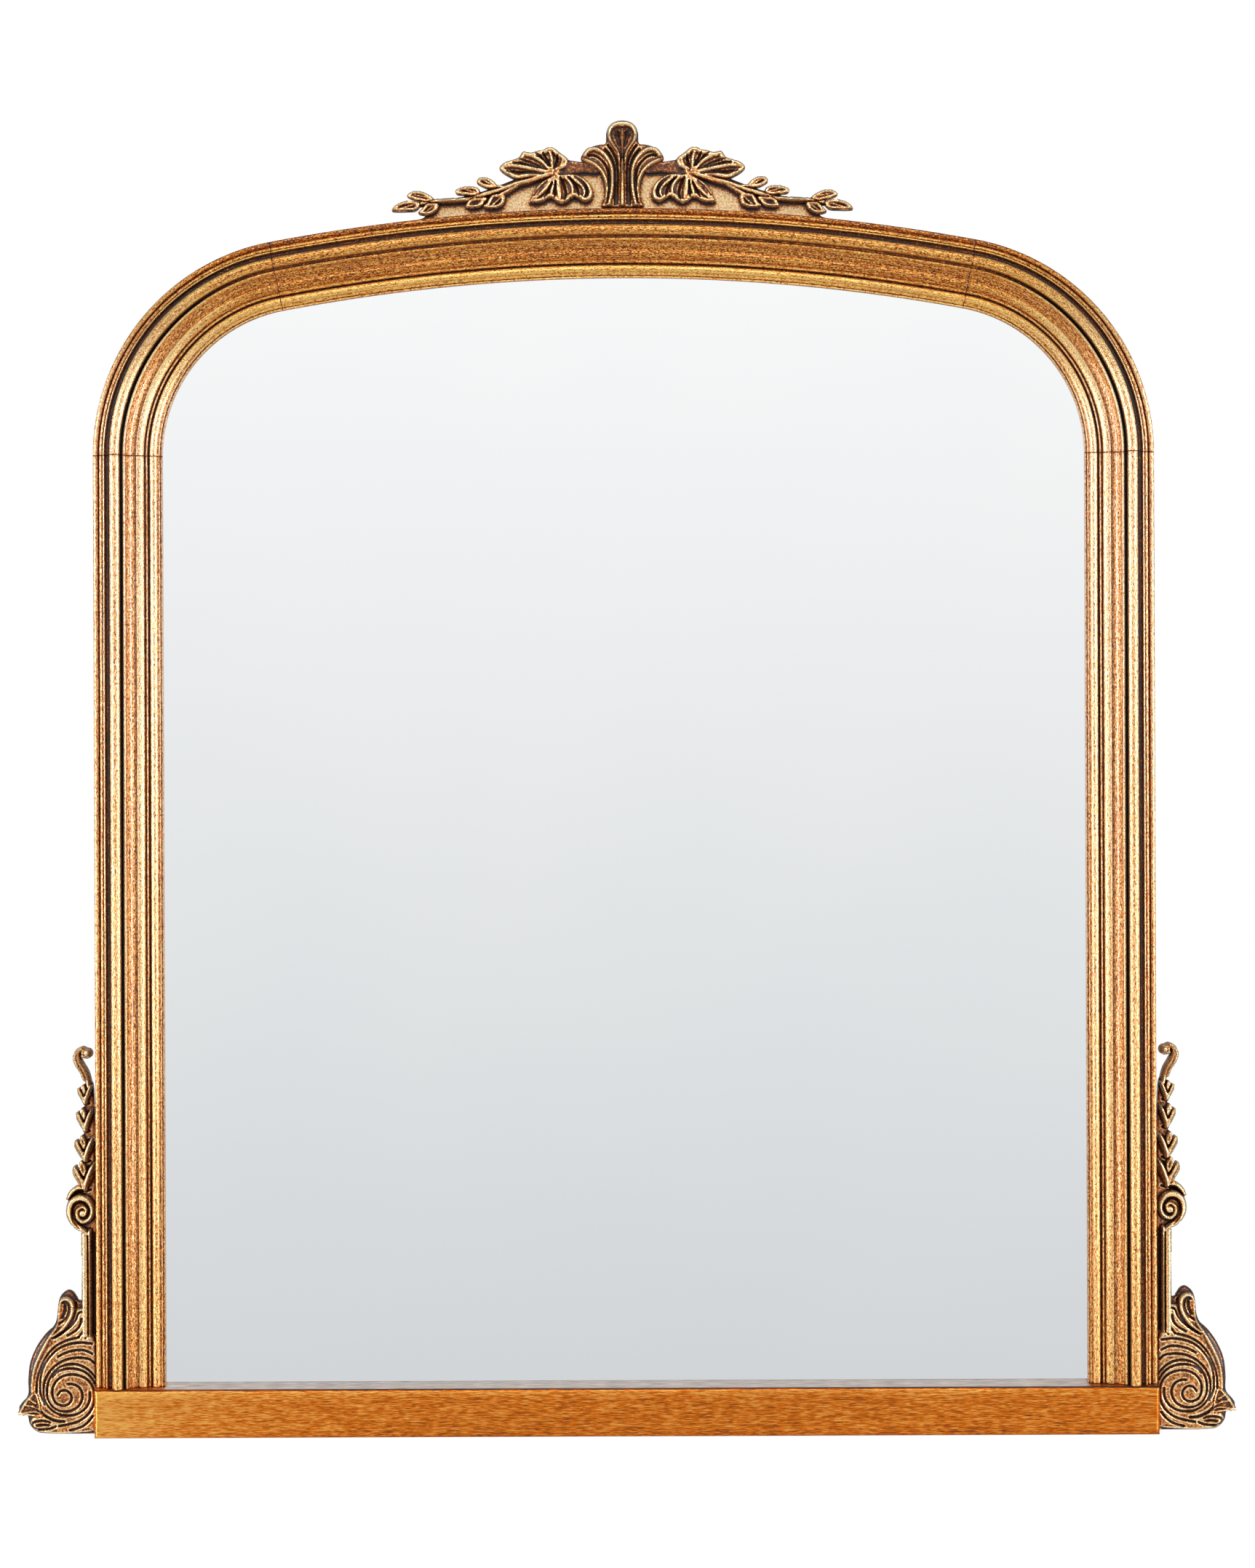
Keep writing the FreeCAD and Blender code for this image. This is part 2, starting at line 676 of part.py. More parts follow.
def hanger_strap(label, side):
    """A steel strap bent round at the top into the loop that holds the ring."""
    body = new_body(label + "_strip")
    sketch = new_sketch(body, "bend_of_" + label)
    loop = d.ring_wire_radius + d.ring_play + d.strap_thickness
    neck = square_root(loop * loop - (loop - d.strap_thickness) * (loop - d.strap_thickness))
    draw_outline(sketch, [(ZERO, -d.strap_length), (ZERO, ZERO), (loop * 2, ZERO),
                          (d.strap_thickness, -neck), (d.strap_thickness, -d.strap_length)],
                 {1: (None, -1), 2: (loop, -1)})
    draw_circle(sketch, loop, ZERO, d.ring_wire_radius + d.ring_play)
    strip = pad(body, sketch, d.strap_width)
    strip.Midplane = True
    x = (half_width - d.hanger_inset) * side
    place(body, (x, back, ring_bar_z), FreeCAD.Rotation(Y_AXIS, Z_AXIS, X_AXIS, "ZXY"))
    holes = [cylinder("%s_hole_%d" % (label, number), (hole_x, back - d.seat_gap, z),
                      facing_wall(), d.hanger_screw_radius + d.bore_clearance,
                      d.strap_thickness + d.seat_gap * 2)
             for number, (hole_x, z) in enumerate(hanger_holes(side), start=1)]
    return bored(label, body, holes)


def hanger_ring(label, side):
    """A ring of steel wire: a half circle that stands up from a straight bar."""
    bow = doc.addObject("Part::Torus", label + "_bow")
    bow.Angle3 = 180
    bind(bow, Radius1=d.ring_half_width, Radius2=d.ring_wire_radius)
    place(bow, (ZERO, ZERO, ZERO), facing_front())
    reach = d.ring_half_width + d.ring_wire_radius + d.ring_bar_end
    item = doc.addObject("Part::Fuse", label)
    item.Label = label
    item.Base = bow
    item.Tool = cylinder(label + "_bar", (-reach, ZERO, ZERO), turned(90),
                         d.ring_wire_radius, reach * 2)
    return place(item, ((half_width - d.hanger_inset) * side, ring_bar_y, ring_bar_z), turned(0))


for word, side in (("left", LEFT), ("right", RIGHT)):
    hanger_strap(word + "_hanger_strap", side)
    hanger_ring(word + "_hanger_ring", side)
    bumper = cylinder(word + "_wall_bumper",
                      ((half_width - d.bumper_inset) * side, back, foot + d.bumper_height),
                      facing_wall(), d.bumper_radius, d.stand_off)
    bumper.Label = word + "_wall_bumper"
screws("hanger_screws", hanger_holes(LEFT) + hanger_holes(RIGHT), d.hanger_screw_radius,
       d.hanger_screw_reach, d.hanger_head_radius, d.hanger_head_height, d.strap_thickness)

# Carvings. Each is drawn flat, X to the right and Y up, in shares of its drawing width, and
# its relief grows along Z from the back. Outlines run anticlockwise, and the third share of a
# point is how far the run to the next point bows outwards.
SCROLL_OUTLINE_SHARES = (
    (0.00, 0.004, 0), (0.38, 0.004, 0.010), (0.50, 0.070, 0.008), (0.51, 0.14, 0),
    (0.565, 0.15, 0.004), (0.585, 0.19, 0), (0.545, 0.27, 0), (0.50, 0.335, 0.014),
    (0.483, 0.575, 0.008), (0.385, 0.740, -0.004), (0.308, 0.83, -0.004), (0.288, 0.92, 0.004),
    (0.270, 1.02, 0.034), (0.165, 1.045, 0), (0.125, 0.995, 0), (0.098, 0.985, 0),
    (0.098, 0.725, 0), (0.00, 0.725, 0),
)
VOLUTE_CENTRE_SHARES = (0.255, 0.305)
VOLUTE_FIRST_SHARE = 0.04
VOLUTE_GROWTH_SHARE = 0.043
VOLUTE_RIB_SHARE = 0.058
VOLUTE_HALF_TURNS = 4
# Most of a rib's half width that its sloping wall may take
RIB_WALL_SHARE = 0.7
# Ribs: start, end, bow to the left of the way from start to end, and width
SCROLL_RIB_SHARES = (
    ((0.472, 0.280), (0.326, 0.700), -0.044, 0.066),
    ((0.326, 0.690), (0.240, 0.900), 0.014, 0.042),
    ((0.255, 0.540), (0.020, 0.305), -0.0688, 0.032),
    ((0.020, 0.305), (0.215, 0.073), -0.085, 0.032),
    ((0.345, 0.545), (0.065, 0.620), -0.034, 0.070),
    ((0.330, 0.712), (0.147, 0.868), 0.029, 0.062),
)
# Leaves: tip, tip, bow of the left side, bow of the right side
SCROLL_LEAF_SHARES = (
    ((0.248, 0.84), (0.212, 1.068), 0.038, 0.038),
    ((0.18, 0.085), (0.495, 0.11), 0.030, 0.030),
    ((0.34, 0.20), (0.58, 0.175), 0.038, 0.035),
    ((0.38, 0.27), (0.545, 0.265), 0.026, 0.026),
)
SCROLL_HOLLOW_SHARES = (
    ((0.238, 0.90), (0.216, 1.035), 0.016, 0.016),
    ((0.29, 0.097), (0.465, 0.107), 0.012, 0.012),
)
SCROLL_DISC_SHARES = (((0.255, 0.305), 0.034), ((0.144, 0.885), 0.040), ((0.055, 0.615), 0.038))
SCROLL_LEDGE_SHARE = 0.725

HUSK_STEM_SHARES = ((0.02, 0.0, 0), (0.095, 0.0, 0), (0.095, 0.74, -0.01), (0.20, 0.86, 0),
                    (0.212, 1.01, 0), (0.180, 1.075, 0), (0.10, 1.10, 0), (0.00, 1.12, 0),
                    (0.00, 0.84, 0), (0.02, 0.78, 0))
HUSK_STALK_SHARES = ((0.03, 1.04, 0), (0.085, 1.04, 0), (0.080, 1.84, 0), (0.045, 1.84, 0))
HUSK_DISC_SHARES = (((0.110, 0.925), 0.110), ((0.082, 2.085), 0.046))
HUSK_VOLUTE_CENTRE_SHARES = (0.110, 0.925)
HUSK_VOLUTE_FIRST_SHARE = 0.025
HUSK_VOLUTE_GROWTH_SHARE = 0.02
HUSK_VOLUTE_RIB_SHARE = 0.026
HUSK_RIB_SHARES = (
    ((0.083, 0.0), (0.083, 0.76), 0, 0.022),
    ((0.045, 0.0), (0.045, 0.76), 0, 0.022),
    ((0.083, 0.76), (0.205, 0.905), 0.020, 0.026),
    ((0.062, 1.80), (0.142, 2.025), 0.030, 0.036),
    ((0.142, 2.025), (0.062, 2.115), -0.055, 0.034),
)
# Husks: each has its foot's height and the tips of its three leaves
HUSK_FOOT_SHARE = 0.075
HUSK_CUP_SHARES = (
    (1.10, (0.165, 1.215), (0.115, 1.285), (0.025, 1.265)),
    (1.31, (0.160, 1.440), (0.112, 1.500), (0.028, 1.485)),
    (1.515, (0.145, 1.635), (0.110, 1.710), (0.022, 1.695)),
    (1.69, (0.125, 1.830), (0.098, 1.870), (0.028, 1.855)),
)
HUSK_LEAF_BOW_SHARE = 0.021

CREST_GROUND_SHARES = (
    (-1.47, -0.10, 0), (1.47, -0.10, 0), (1.45, -0.035, 0), (1.39, 0.03, 0), (1.20, 0.06, 0),
    (1.06, 0.095, 0), (0.91, 0.14, 0), (0.76, 0.19, 0), (0.56, 0.29, 0), (0.20, 0.31, 0),
    (0.08, 0.44, 0), (-0.08, 0.44, 0), (-0.20, 0.31, 0), (-0.56, 0.29, 0), (-0.76, 0.19, 0),
    (-0.91, 0.14, 0), (-1.06, 0.095, 0), (-1.20, 0.06, 0), (-1.39, 0.03, 0), (-1.45, -0.035, 0),
)
SPRAY_OUTLINE_SHARES = (
    (0.30, 0.255, 0), (0.235, 0.215, 0.016), (0.215, 0.10, 0.016), (0.27, 0.02, 0),
    (0.365, 0.045, 0), (0.40, 0.012, 0), (0.485, 0.015, 0), (0.525, 0.045, 0),
    (0.60, 0.008, 0), (0.70, 0.035, 0), (0.675, 0.12, 0), (0.63, 0.185, 0),
    (0.76, 0.15, 0), (0.85, 0.09, 0), (0.865, 0.03, 0.014), (0.99, 0.005, 0),
    (1.155, 0.002, 0), (1.135, 0.055, 0), (1.28, 0.025, 0), (1.345, -0.04, 0),
    (1.48, -0.06, 0), (1.52, -0.04, 0), (1.67, -0.038, 0), (1.72, -0.008, 0),
    (1.67, 0.035, 0), (1.56, 0.06, 0), (1.575, 0.11, 0), (1.51, 0.142, 0),
    (1.39, 0.09, 0), (1.21, 0.082, 0), (1.225, 0.14, 0), (1.12, 0.18, 0),
    (1.075, 0.20, 0), (0.98, 0.21, 0), (0.80, 0.19, 0), (0.77, 0.225, 0),
    (0.88, 0.285, 0.014), (0.86, 0.348, 0), (0.765, 0.37, 0), (0.715, 0.425, 0),
    (0.60, 0.455, 0.018), (0.49, 0.445, 0), (0.41, 0.365, 0),
    (0.25, 0.345, 0), (0.168, 0.27, 0),
)
SPRAY_RIB_SHARES = (
    ((0.50, 0.262), (1.00, 0.135), 0.018, 0.040),
    ((1.00, 0.135), (1.38, 0.055), -0.018, 0.034),
    ((0.29, 0.300), (0.46, 0.275), -0.006, 0.034),
)
SPRAY_LEAF_SHARES = (
    ((0.50, 0.27), (0.735, 0.410), 0.040, 0.034),
    ((0.54, 0.262), (0.878, 0.318), 0.032, 0.034),
    ((0.475, 0.25), (0.445, 0.022), 0.050, 0.050),
    ((0.51, 0.25), (0.690, 0.030), 0.060, 0.044),
    ((0.92, 0.165), (1.075, 0.206), 0.020, 0.022),
    ((1.00, 0.130), (1.222, 0.115), 0.028, 0.026),
    ((0.99, 0.115), (1.150, 0.015), 0.030, 0.030),
    ((1.36, 0.060), (1.572, 0.118), 0.028, 0.024),
    ((1.40, 0.030), (1.712, -0.006), 0.038, 0.034),
    ((1.355, 0.055), (1.470, -0.050), 0.034, 0.034),
)
SPRAY_HOLLOW_SHARES = (
    ((0.465, 0.20), (0.447, 0.060), 0.024, 0.024),
    ((0.545, 0.20), (0.670, 0.055), 0.032, 0.022),
)
SPRAY_DISC_SHARES = (((0.53, 0.385), 0.072), ((0.295, 0.13), 0.080), ((0.925, 0.062), 0.052))
SPRAY_EYE_SHARES = (((0.53, 0.385), 0.040), ((0.295, 0.13), 0.046))
PALMETTE_HALF_SHARES = (
    (0.00, 0.012, 0), (0.135, 0.012, 0), (0.118, 0.13, -0.003), (0.155, 0.27, -0.010),
    (0.285, 0.37, 0.014), (0.275, 0.43, 0.014), (0.20, 0.475, 0.004), (0.125, 0.485, 0),
    (0.118, 0.53, 0.006), (0.09, 0.62, 0.014), (0.00, 0.65, 0),
)
PALMETTE_RIB_SHARES = (
    ((0.000, 0.03), (0.000, 0.47), 0, 0.030),
    ((0.052, 0.03), (0.075, 0.49), 0.016, 0.028),
    ((0.104, 0.03), (0.215, 0.345), 0.040, 0.040),
)
PALMETTE_DISC_SHARES = (((0.00, 0.535), 0.105), ((0.205, 0.40), 0.068))
PALMETTE_EYE_SHARES = (((0.042, 0.555), 0.034), ((0.205, 0.398), 0.034))


def share_point(share, unit):
    return FreeCAD.Vector(share[0] * unit, share[1] * unit, 0)


def left_of(chord):
    return FreeCAD.Vector(-chord.y, chord.x, 0).normalize()


def plate(shares, unit, top):
    """A flat plate with the outline of the shares, from the back up to the top."""
    edges = []
    for index, share in enumerate(shares):
        start = share_point(share, unit)
        end = share_point(shares[(index + 1) % len(shares)], unit)
        if share[2]:
            middle = (start + end) / 2 - left_of(end - start) * (share[2] * unit)
            edges.append(Part.Arc(start, middle, end).toShape())
        else:
            edges.append(Part.LineSegment(start, end).toShape())
    return Part.Face(Part.Wire(edges)).extrude(Z_AXIS * top)


def disc(share, radius_share, unit, low, high, slope):
    """A round boss with a sloping wall, or an upright one where the slope is nothing."""
    radius = radius_share * unit
    foot_point = share_point(share, unit) + Z_AXIS * low
    if not slope:
        return Part.makeCylinder(radius, high - low, foot_point)
    return Part.makeCone(radius, radius - slope, high - low, foot_point)


def leaf(tips, bows, unit, low, high, slope):
    """A pointed leaf: what two large discs that cross at the tips have in common."""
    start, end = [share_point(share, unit) for share in tips]
    middle = (start + end) / 2
    half = (end - start).Length / 2
    sides = []
    for bow_share, way in zip(bows, (1, -1)):
        bow = bow_share * unit
        radius = (half * half + bow * bow) / (2 * bow)
        centre = middle + left_of(end - start) * (way * (bow - radius)) + Z_AXIS * low
        sides.append(Part.makeCone(radius, radius - slope, high - low, centre))
    return sides[0].common(sides[1])


def rib(start, end, bow, width, low, high, slope):
    """A ridge with sloping walls along an arc that bows to the left by bow."""
    chord = end - start
    half = width / 2
    slope = min(slope, half * RIB_WALL_SHARE)
    if bow:
        spread = (chord.Length ** 2 / 4 + bow * bow) / (2 * abs(bow))
        radius = math.copysign(spread, bow)
        centre = (start + end) / 2 + left_of(chord) * (bow - radius)
        across = (start - centre).normalize()
    else:
        across = left_of(chord)
    corners = [start + across * reach + Z_AXIS * level for reach, level in (
        (-half, low), (half, low), (half - slope, high), (slope - half, high), (-half, low))]
    face = Part.Face(Part.makePolygon(corners))
    if not bow:
        return face.extrude(chord)
    sweep = 2 * math.degrees(math.asin(min(chord.Length / (2 * spread), 1)))
    return face.revolve(centre, Z_AXIS, -math.copysign(sweep, bow))


def volute(centre_share, first, growth, width, half_turns, unit, low, high, slope):
    """A spiral of half circles that opens to the right and ends going up."""
    centre = share_point(centre_share, unit)
    turns = []
    reach = first
    way = 1
    for _ in range(half_turns):
        start = centre + X_AXIS * (reach * way * unit)
        end = centre - X_AXIS * ((reach + growth) * way * unit)
        bow = -(end - start).Length / 2
        turns.append(rib(start, end, bow, width * unit, low, high, slope))
        reach += growth
        way = -way
    return turns


def carving(label, base, plates, raised, sunk, unit, low, high):
    """Join the raised forms to their plates and sink the hollows. raised and sunk are
    tables of ribs, leaves and discs."""
    slope = d.carving_slope_width.number
    forms = []
    for start, end, bow, width in raised.get("ribs", ()):
        forms.append(rib(share_point(start, unit), share_point(end, unit), bow * unit,
                         width * unit, low, high, slope))
    for start, end, left, right in raised.get("leaves", ()):
        forms.append(leaf((start, end), (left, right), unit, low, high, slope))
    for centre, radius in raised.get("discs", ()):
        forms.append(disc(centre, radius, unit, low, high, slope))
    forms += raised.get("solids", [])
    whole = plates[0].multiFuse(plates[1:] + forms)
    hollow_floor = low + slope
    hollows = []
    for start, end, left, right in sunk.get("leaves", ()):
        hollows.append(leaf((start, end), (left, right), unit, hollow_floor, high + slope, -slope / 2))
    for centre, radius in sunk.get("discs", ()):
        hollows.append(disc(centre, radius, unit, hollow_floor, high + slope, -slope))
    hollows += sunk.get("solids", [])
    if hollows:
        whole = whole.cut(hollows)
    item = doc.addObject("Part::Feature", label)
    item.Shape = whole.removeSplitter()
    item.Label = label
    return place(item, base, facing_front())


def mirrored(label, source):
    """The same piece on the other side of the mirror."""
    item = doc.addObject("Part::Mirroring", label)
    item.Label = label
    item.Source = source
    item.Base = FreeCAD.Vector(0, 0, 0)
    item.Normal = X_AXIS
    return item


def trim_box(unit, top):
    """What lies left of a side carving's own zero line."""
    return Part.makeBox(unit, unit * 3, top * 2, FreeCAD.Vector(-unit, 0, 0))


# Right scroll, and the left one as its mirror image
unit = d.scroll_drawing_width.number
low = d.scroll_ground_top.number
high = d.scroll_rib_top.number
slope = d.carving_slope_width.number
edge_x = half_width + d.seat_gap
scroll = carving(
    "right_scroll_carving", (edge_x, back, foot),
    [plate(SCROLL_OUTLINE_SHARES, unit, low)],
    {"ribs": SCROLL_RIB_SHARES, "leaves": SCROLL_LEAF_SHARES, "discs": SCROLL_DISC_SHARES,
     "solids": volute(VOLUTE_CENTRE_SHARES, VOLUTE_FIRST_SHARE, VOLUTE_GROWTH_SHARE,
                      VOLUTE_RIB_SHARE, VOLUTE_HALF_TURNS, unit, low, high, slope)},
    {"leaves": SCROLL_HOLLOW_SHARES, "solids": [trim_box(unit, high)]}, unit, low, high)
plate_screw = (d.plate_screw_radius, d.plate_screw_reach)
x, z = scroll_plate_centre(RIGHT)
scroll = bored("right_scroll", scroll,
               screw_bores("scroll_bore", [(x + screw_spread, z)], *plate_screw))
mirrored("left_scroll", scroll)

# Right husk drop, which stands on the ledge of the scroll
unit = d.husk_drawing_width.number
low = d.husk_ground_top.number
high = d.husk_rib_top.number
cups = []
for cup_foot, *tips in HUSK_CUP_SHARES:
    for tip in tips:
        cups.append(((HUSK_FOOT_SHARE, cup_foot), tip, HUSK_LEAF_BOW_SHARE, HUSK_LEAF_BOW_SHARE))
husk_plates = [plate(HUSK_STEM_SHARES, unit, low), plate(HUSK_STALK_SHARES, unit, low)]
for centre, radius in HUSK_DISC_SHARES:
    husk_plates.append(disc(centre, radius, unit, 0, low, 0))
husk_base = (edge_x, back, foot + d.scroll_drawing_width * SCROLL_LEDGE_SHARE)
husk = carving(
    "right_husk_drop", husk_base, husk_plates,
    {"ribs": HUSK_RIB_SHARES, "leaves": cups,
     "discs": [(HUSK_VOLUTE_CENTRE_SHARES, HUSK_VOLUTE_FIRST_SHARE), HUSK_DISC_SHARES[1]],
     "solids": volute(HUSK_VOLUTE_CENTRE_SHARES, HUSK_VOLUTE_FIRST_SHARE,
                      HUSK_VOLUTE_GROWTH_SHARE, HUSK_VOLUTE_RIB_SHARE, VOLUTE_HALF_TURNS,
                      unit, low, high, slope / 2)},
    {"solids": [trim_box(unit, high)]}, unit, low, high)
mirrored("left_husk_drop", husk)

# Crest: a ground board on the arch, with the palmette and two leafy sprays on its front
unit = d.crest_drawing_width.number
ground_top = d.crest_ground_top.number
ground = plate(CREST_GROUND_SHARES, unit, ground_top)
arch_radius = (d.crown_radius + d.seat_gap).number
ground = ground.cut(Part.makeCylinder(arch_radius, ground_top,
                                      FreeCAD.Vector(0, -d.crown_radius.number, 0)))
board = doc.addObject("Part::Feature", "crest_ground_board")
board.Shape = ground
place(board, (ZERO, back, apex), facing_front())
bored("crest_ground", board, screw_bores("crest_bore", crest_screws_above, *plate_screw))

crest_base = (ZERO, back - d.crest_ground_top, apex)
low = (d.crest_plate_top - d.crest_ground_top).number
high = (d.crest_leaf_top - d.crest_ground_top).number
spray = carving(
    "right_crest_spray", crest_base, [plate(SPRAY_OUTLINE_SHARES, unit, low)],
    {"ribs": SPRAY_RIB_SHARES, "leaves": SPRAY_LEAF_SHARES, "discs": SPRAY_DISC_SHARES},
    {"leaves": SPRAY_HOLLOW_SHARES, "discs": SPRAY_EYE_SHARES}, unit, low, high)
mirrored("left_crest_spray", spray)


def both_ways(shares):
    """A table of forms and its mirror image."""
    table = list(shares)
    for form in shares:
        points = [(-share[0], share[1]) if isinstance(share, tuple) else share for share in form]
        if len(form) == 4:
            points[2] = -points[2]
        if form[0][0]:
            table.append(tuple(points))
    return table


high = (d.palmette_top - d.crest_ground_top).number
half = plate(PALMETTE_HALF_SHARES, unit, low)
carving("crest_palmette", crest_base,
        [half, half.mirror(FreeCAD.Vector(0, 0, 0), X_AXIS)],
        {"ribs": both_ways(PALMETTE_RIB_SHARES), "discs": both_ways(PALMETTE_DISC_SHARES)},
        {"discs": both_ways(PALMETTE_EYE_SHARES)}, unit, low, high)

NODES = [
    "left_stile", "right_stile", "left_corner_arch", "right_corner_arch", "crown_arch",
    "bottom_rail", "left_foot_dowels", "right_foot_dowels", "left_spring_dowels",
    "right_spring_dowels", "left_crown_dowels", "right_crown_dowels", "crest_ground",
    "crest_palmette", "left_crest_spray", "right_crest_spray", "left_scroll", "right_scroll",
    "left_husk_drop", "right_husk_drop", "left_crest_plate", "right_crest_plate",
    "left_scroll_plate", "right_scroll_plate", "plate_screws", "mirror_glass",
    "backing_board", "turn_button_screws", "left_hanger_strap", "right_hanger_strap",
    "left_hanger_ring", "right_hanger_ring", "hanger_screws", "left_wall_bumper",
    "right_wall_bumper",
] + list(BUTTONS)

doc.recompute()
failed = [item.Label for item in doc.Objects if "Invalid" in item.State or "Error" in item.State]
if failed:
    raise RuntimeError("These objects failed: " + ", ".join(failed))
os.makedirs("parts", exist_ok=True)
shapes = {}
for label in NODES:
    item = doc.getObjectsByLabel(label)[0]
    shape = item.Shape
    if shape.isNull() or not shape.isValid() or not shape.Solids:
        raise RuntimeError("This piece has no valid solid: " + label)
    shapes[label] = shape
for label, shape in shapes.items():
    shape.exportStep("parts/%s.step" % label)
    print("%-28s %2d solids %10.1f cubic mm" % (label, len(shape.Solids), shape.Volume))
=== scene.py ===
# %% [markdown]
# An arched gilt wall mirror, piece by piece
#
# The real mirror is a moulded wooden frame: two straight stiles, an arch in three lengths and a
# plain board along the bottom. Carvings are fixed to its edge. Everything on the front is gilded,
# rubbed back to a red ground on the edges, and toned with dark wax that stays in the hollows.
# This first cell loads the measured solids. The pieces made below take the places of the gilded
# ones, and the hardware on the back keeps its solids and gets finishes.

# %% Load the measured solids
import math

import bmesh
import bpy
import numpy as np
from mathutils import Matrix, Vector


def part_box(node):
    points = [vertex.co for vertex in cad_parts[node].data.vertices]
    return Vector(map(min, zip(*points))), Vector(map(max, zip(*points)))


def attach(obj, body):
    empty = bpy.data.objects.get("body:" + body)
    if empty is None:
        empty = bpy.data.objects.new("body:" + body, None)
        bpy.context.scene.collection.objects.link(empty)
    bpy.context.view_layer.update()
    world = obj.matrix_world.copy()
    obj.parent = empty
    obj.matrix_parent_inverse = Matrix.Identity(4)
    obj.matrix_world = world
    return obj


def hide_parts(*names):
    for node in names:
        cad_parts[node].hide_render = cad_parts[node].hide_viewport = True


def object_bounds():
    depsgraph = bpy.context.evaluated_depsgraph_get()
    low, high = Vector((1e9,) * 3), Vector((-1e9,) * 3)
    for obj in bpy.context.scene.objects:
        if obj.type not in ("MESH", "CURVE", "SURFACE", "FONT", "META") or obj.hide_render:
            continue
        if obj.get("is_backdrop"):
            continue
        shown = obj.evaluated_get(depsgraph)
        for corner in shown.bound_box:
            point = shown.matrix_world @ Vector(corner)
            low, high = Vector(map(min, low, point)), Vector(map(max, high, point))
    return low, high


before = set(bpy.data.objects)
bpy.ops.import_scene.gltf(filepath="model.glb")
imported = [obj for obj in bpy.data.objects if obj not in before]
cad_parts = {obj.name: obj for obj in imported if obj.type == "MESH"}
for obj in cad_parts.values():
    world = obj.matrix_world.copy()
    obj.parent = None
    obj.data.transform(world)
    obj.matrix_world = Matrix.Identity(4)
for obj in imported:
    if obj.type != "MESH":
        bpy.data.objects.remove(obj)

cad_low, cad_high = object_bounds()
print("solids:", len(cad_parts), "box:", tuple(cad_low), tuple(cad_high))

# %% [markdown]
# Units and shared places
#
# Carvers' drawings read best in millimetres, so every shape below is worked out in millimetres
# and turned into metres when its mesh is made. X runs to the right, Z up, and the front faces -Y.
# "Level" means how far something stands in front of the frame's flat back.

# %% Units and places
MM = 0.001
BACK_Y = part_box("left_stile")[1].y
FRAME_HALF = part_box("bottom_rail")[1].x / MM
FOOT_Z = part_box("bottom_rail")[0].z / MM
RAIL_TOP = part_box("left_stile")[0].z / MM
SPRING_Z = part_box("left_stile")[1].z / MM
APEX_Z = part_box("crown_arch")[1].z / MM
CORNER_RADIUS = 160.0
CROWN_RADIUS = 1420.0
CORNER_X = FRAME_HALF - CORNER_RADIUS
CROWN_Z = APEX_Z - CROWN_RADIUS
LEAN = math.asin(CORNER_X / (CROWN_RADIUS - CORNER_RADIUS))
SIDES = ((-1, "left"), (1, "right"))
print("frame half width %.1f, foot %.1f, spring %.1f, apex %.1f mm"
      % (FRAME_HALF, FOOT_Z, SPRING_Z, APEX_Z))


def to_world(across, level, up):
    """A point in millimetres, with its level in front of the frame's back, as metres."""
    return (across * MM, BACK_Y - level * MM, up * MM)


# %% [markdown]
# Making a mesh from lists
#
# Most pieces here are computed point by point, so one helper makes the object, shades it smooth
# with sharp corners, and stores values for its finish. Such a value is a mesh attribute: one
# number for each point, which a material can read. The finish reads four of them: "relief" says
# whether a point stands out or lies in a hollow, and it also carries painted highlights and
# painted shade; "along" and "across" give a place on a moulding; and "warm_no_highlight" says how
# warm its gold is, where it is painted as less lit.

# %% Mesh helper
SHARP_CORNER = math.radians(50)


def new_piece(name, verts, faces, node_names, values=None, face_slots=None, materials=()):
    """An object from points in metres, standing for CAD nodes and riding on the frame."""
    mesh = bpy.data.meshes.new(name)
    mesh.from_pydata([tuple(map(float, point)) for point in verts], [], faces)
    mesh.validate(clean_customdata=False)
    for key, numbers in (values or {}).items():
        layer = mesh.attributes.new(key, "FLOAT", "POINT")
        layer.data.foreach_set("value", np.asarray(numbers, dtype=np.float32))
    build = bmesh.new()
    build.from_mesh(mesh)
    bmesh.ops.recalc_face_normals(build, faces=build.faces)
    build.to_mesh(mesh)
    build.free()
    if face_slots is not None:
        mesh.polygons.foreach_set("material_index", np.asarray(face_slots, dtype=np.int32))
    mesh.shade_smooth()
    mesh.set_sharp_from_angle(angle=SHARP_CORNER)
    for material in materials:
        mesh.materials.append(material)
    piece = bpy.data.objects.new(name, mesh)
    bpy.context.scene.collection.objects.link(piece)
    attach(piece, "frame")
    if node_names:
        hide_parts(*node_names)
    print("%-22s %6d points %6d faces" % (name, len(mesh.vertices), len(mesh.polygons)))
    return piece


def blurred(field, reach):
    """A Gaussian blur of a grid, with reach in cells."""
    taps = np.arange(-int(3 * reach), int(3 * reach) + 1)
    weights = np.exp(-0.5 * (taps / reach) ** 2)
    weights /= weights.sum()
    for axis in range(field.ndim):
        room = [(0, 0)] * field.ndim
        room[axis] = (len(taps) // 2,) * 2
        padded = np.pad(field, room, mode="edge")
        out = np.zeros_like(field)
        for number, weight in enumerate(weights):
            part = [slice(None)] * field.ndim
            part[axis] = slice(number, number + field.shape[axis])
            out += weight * padded[tuple(part)]
        field = out
    return field
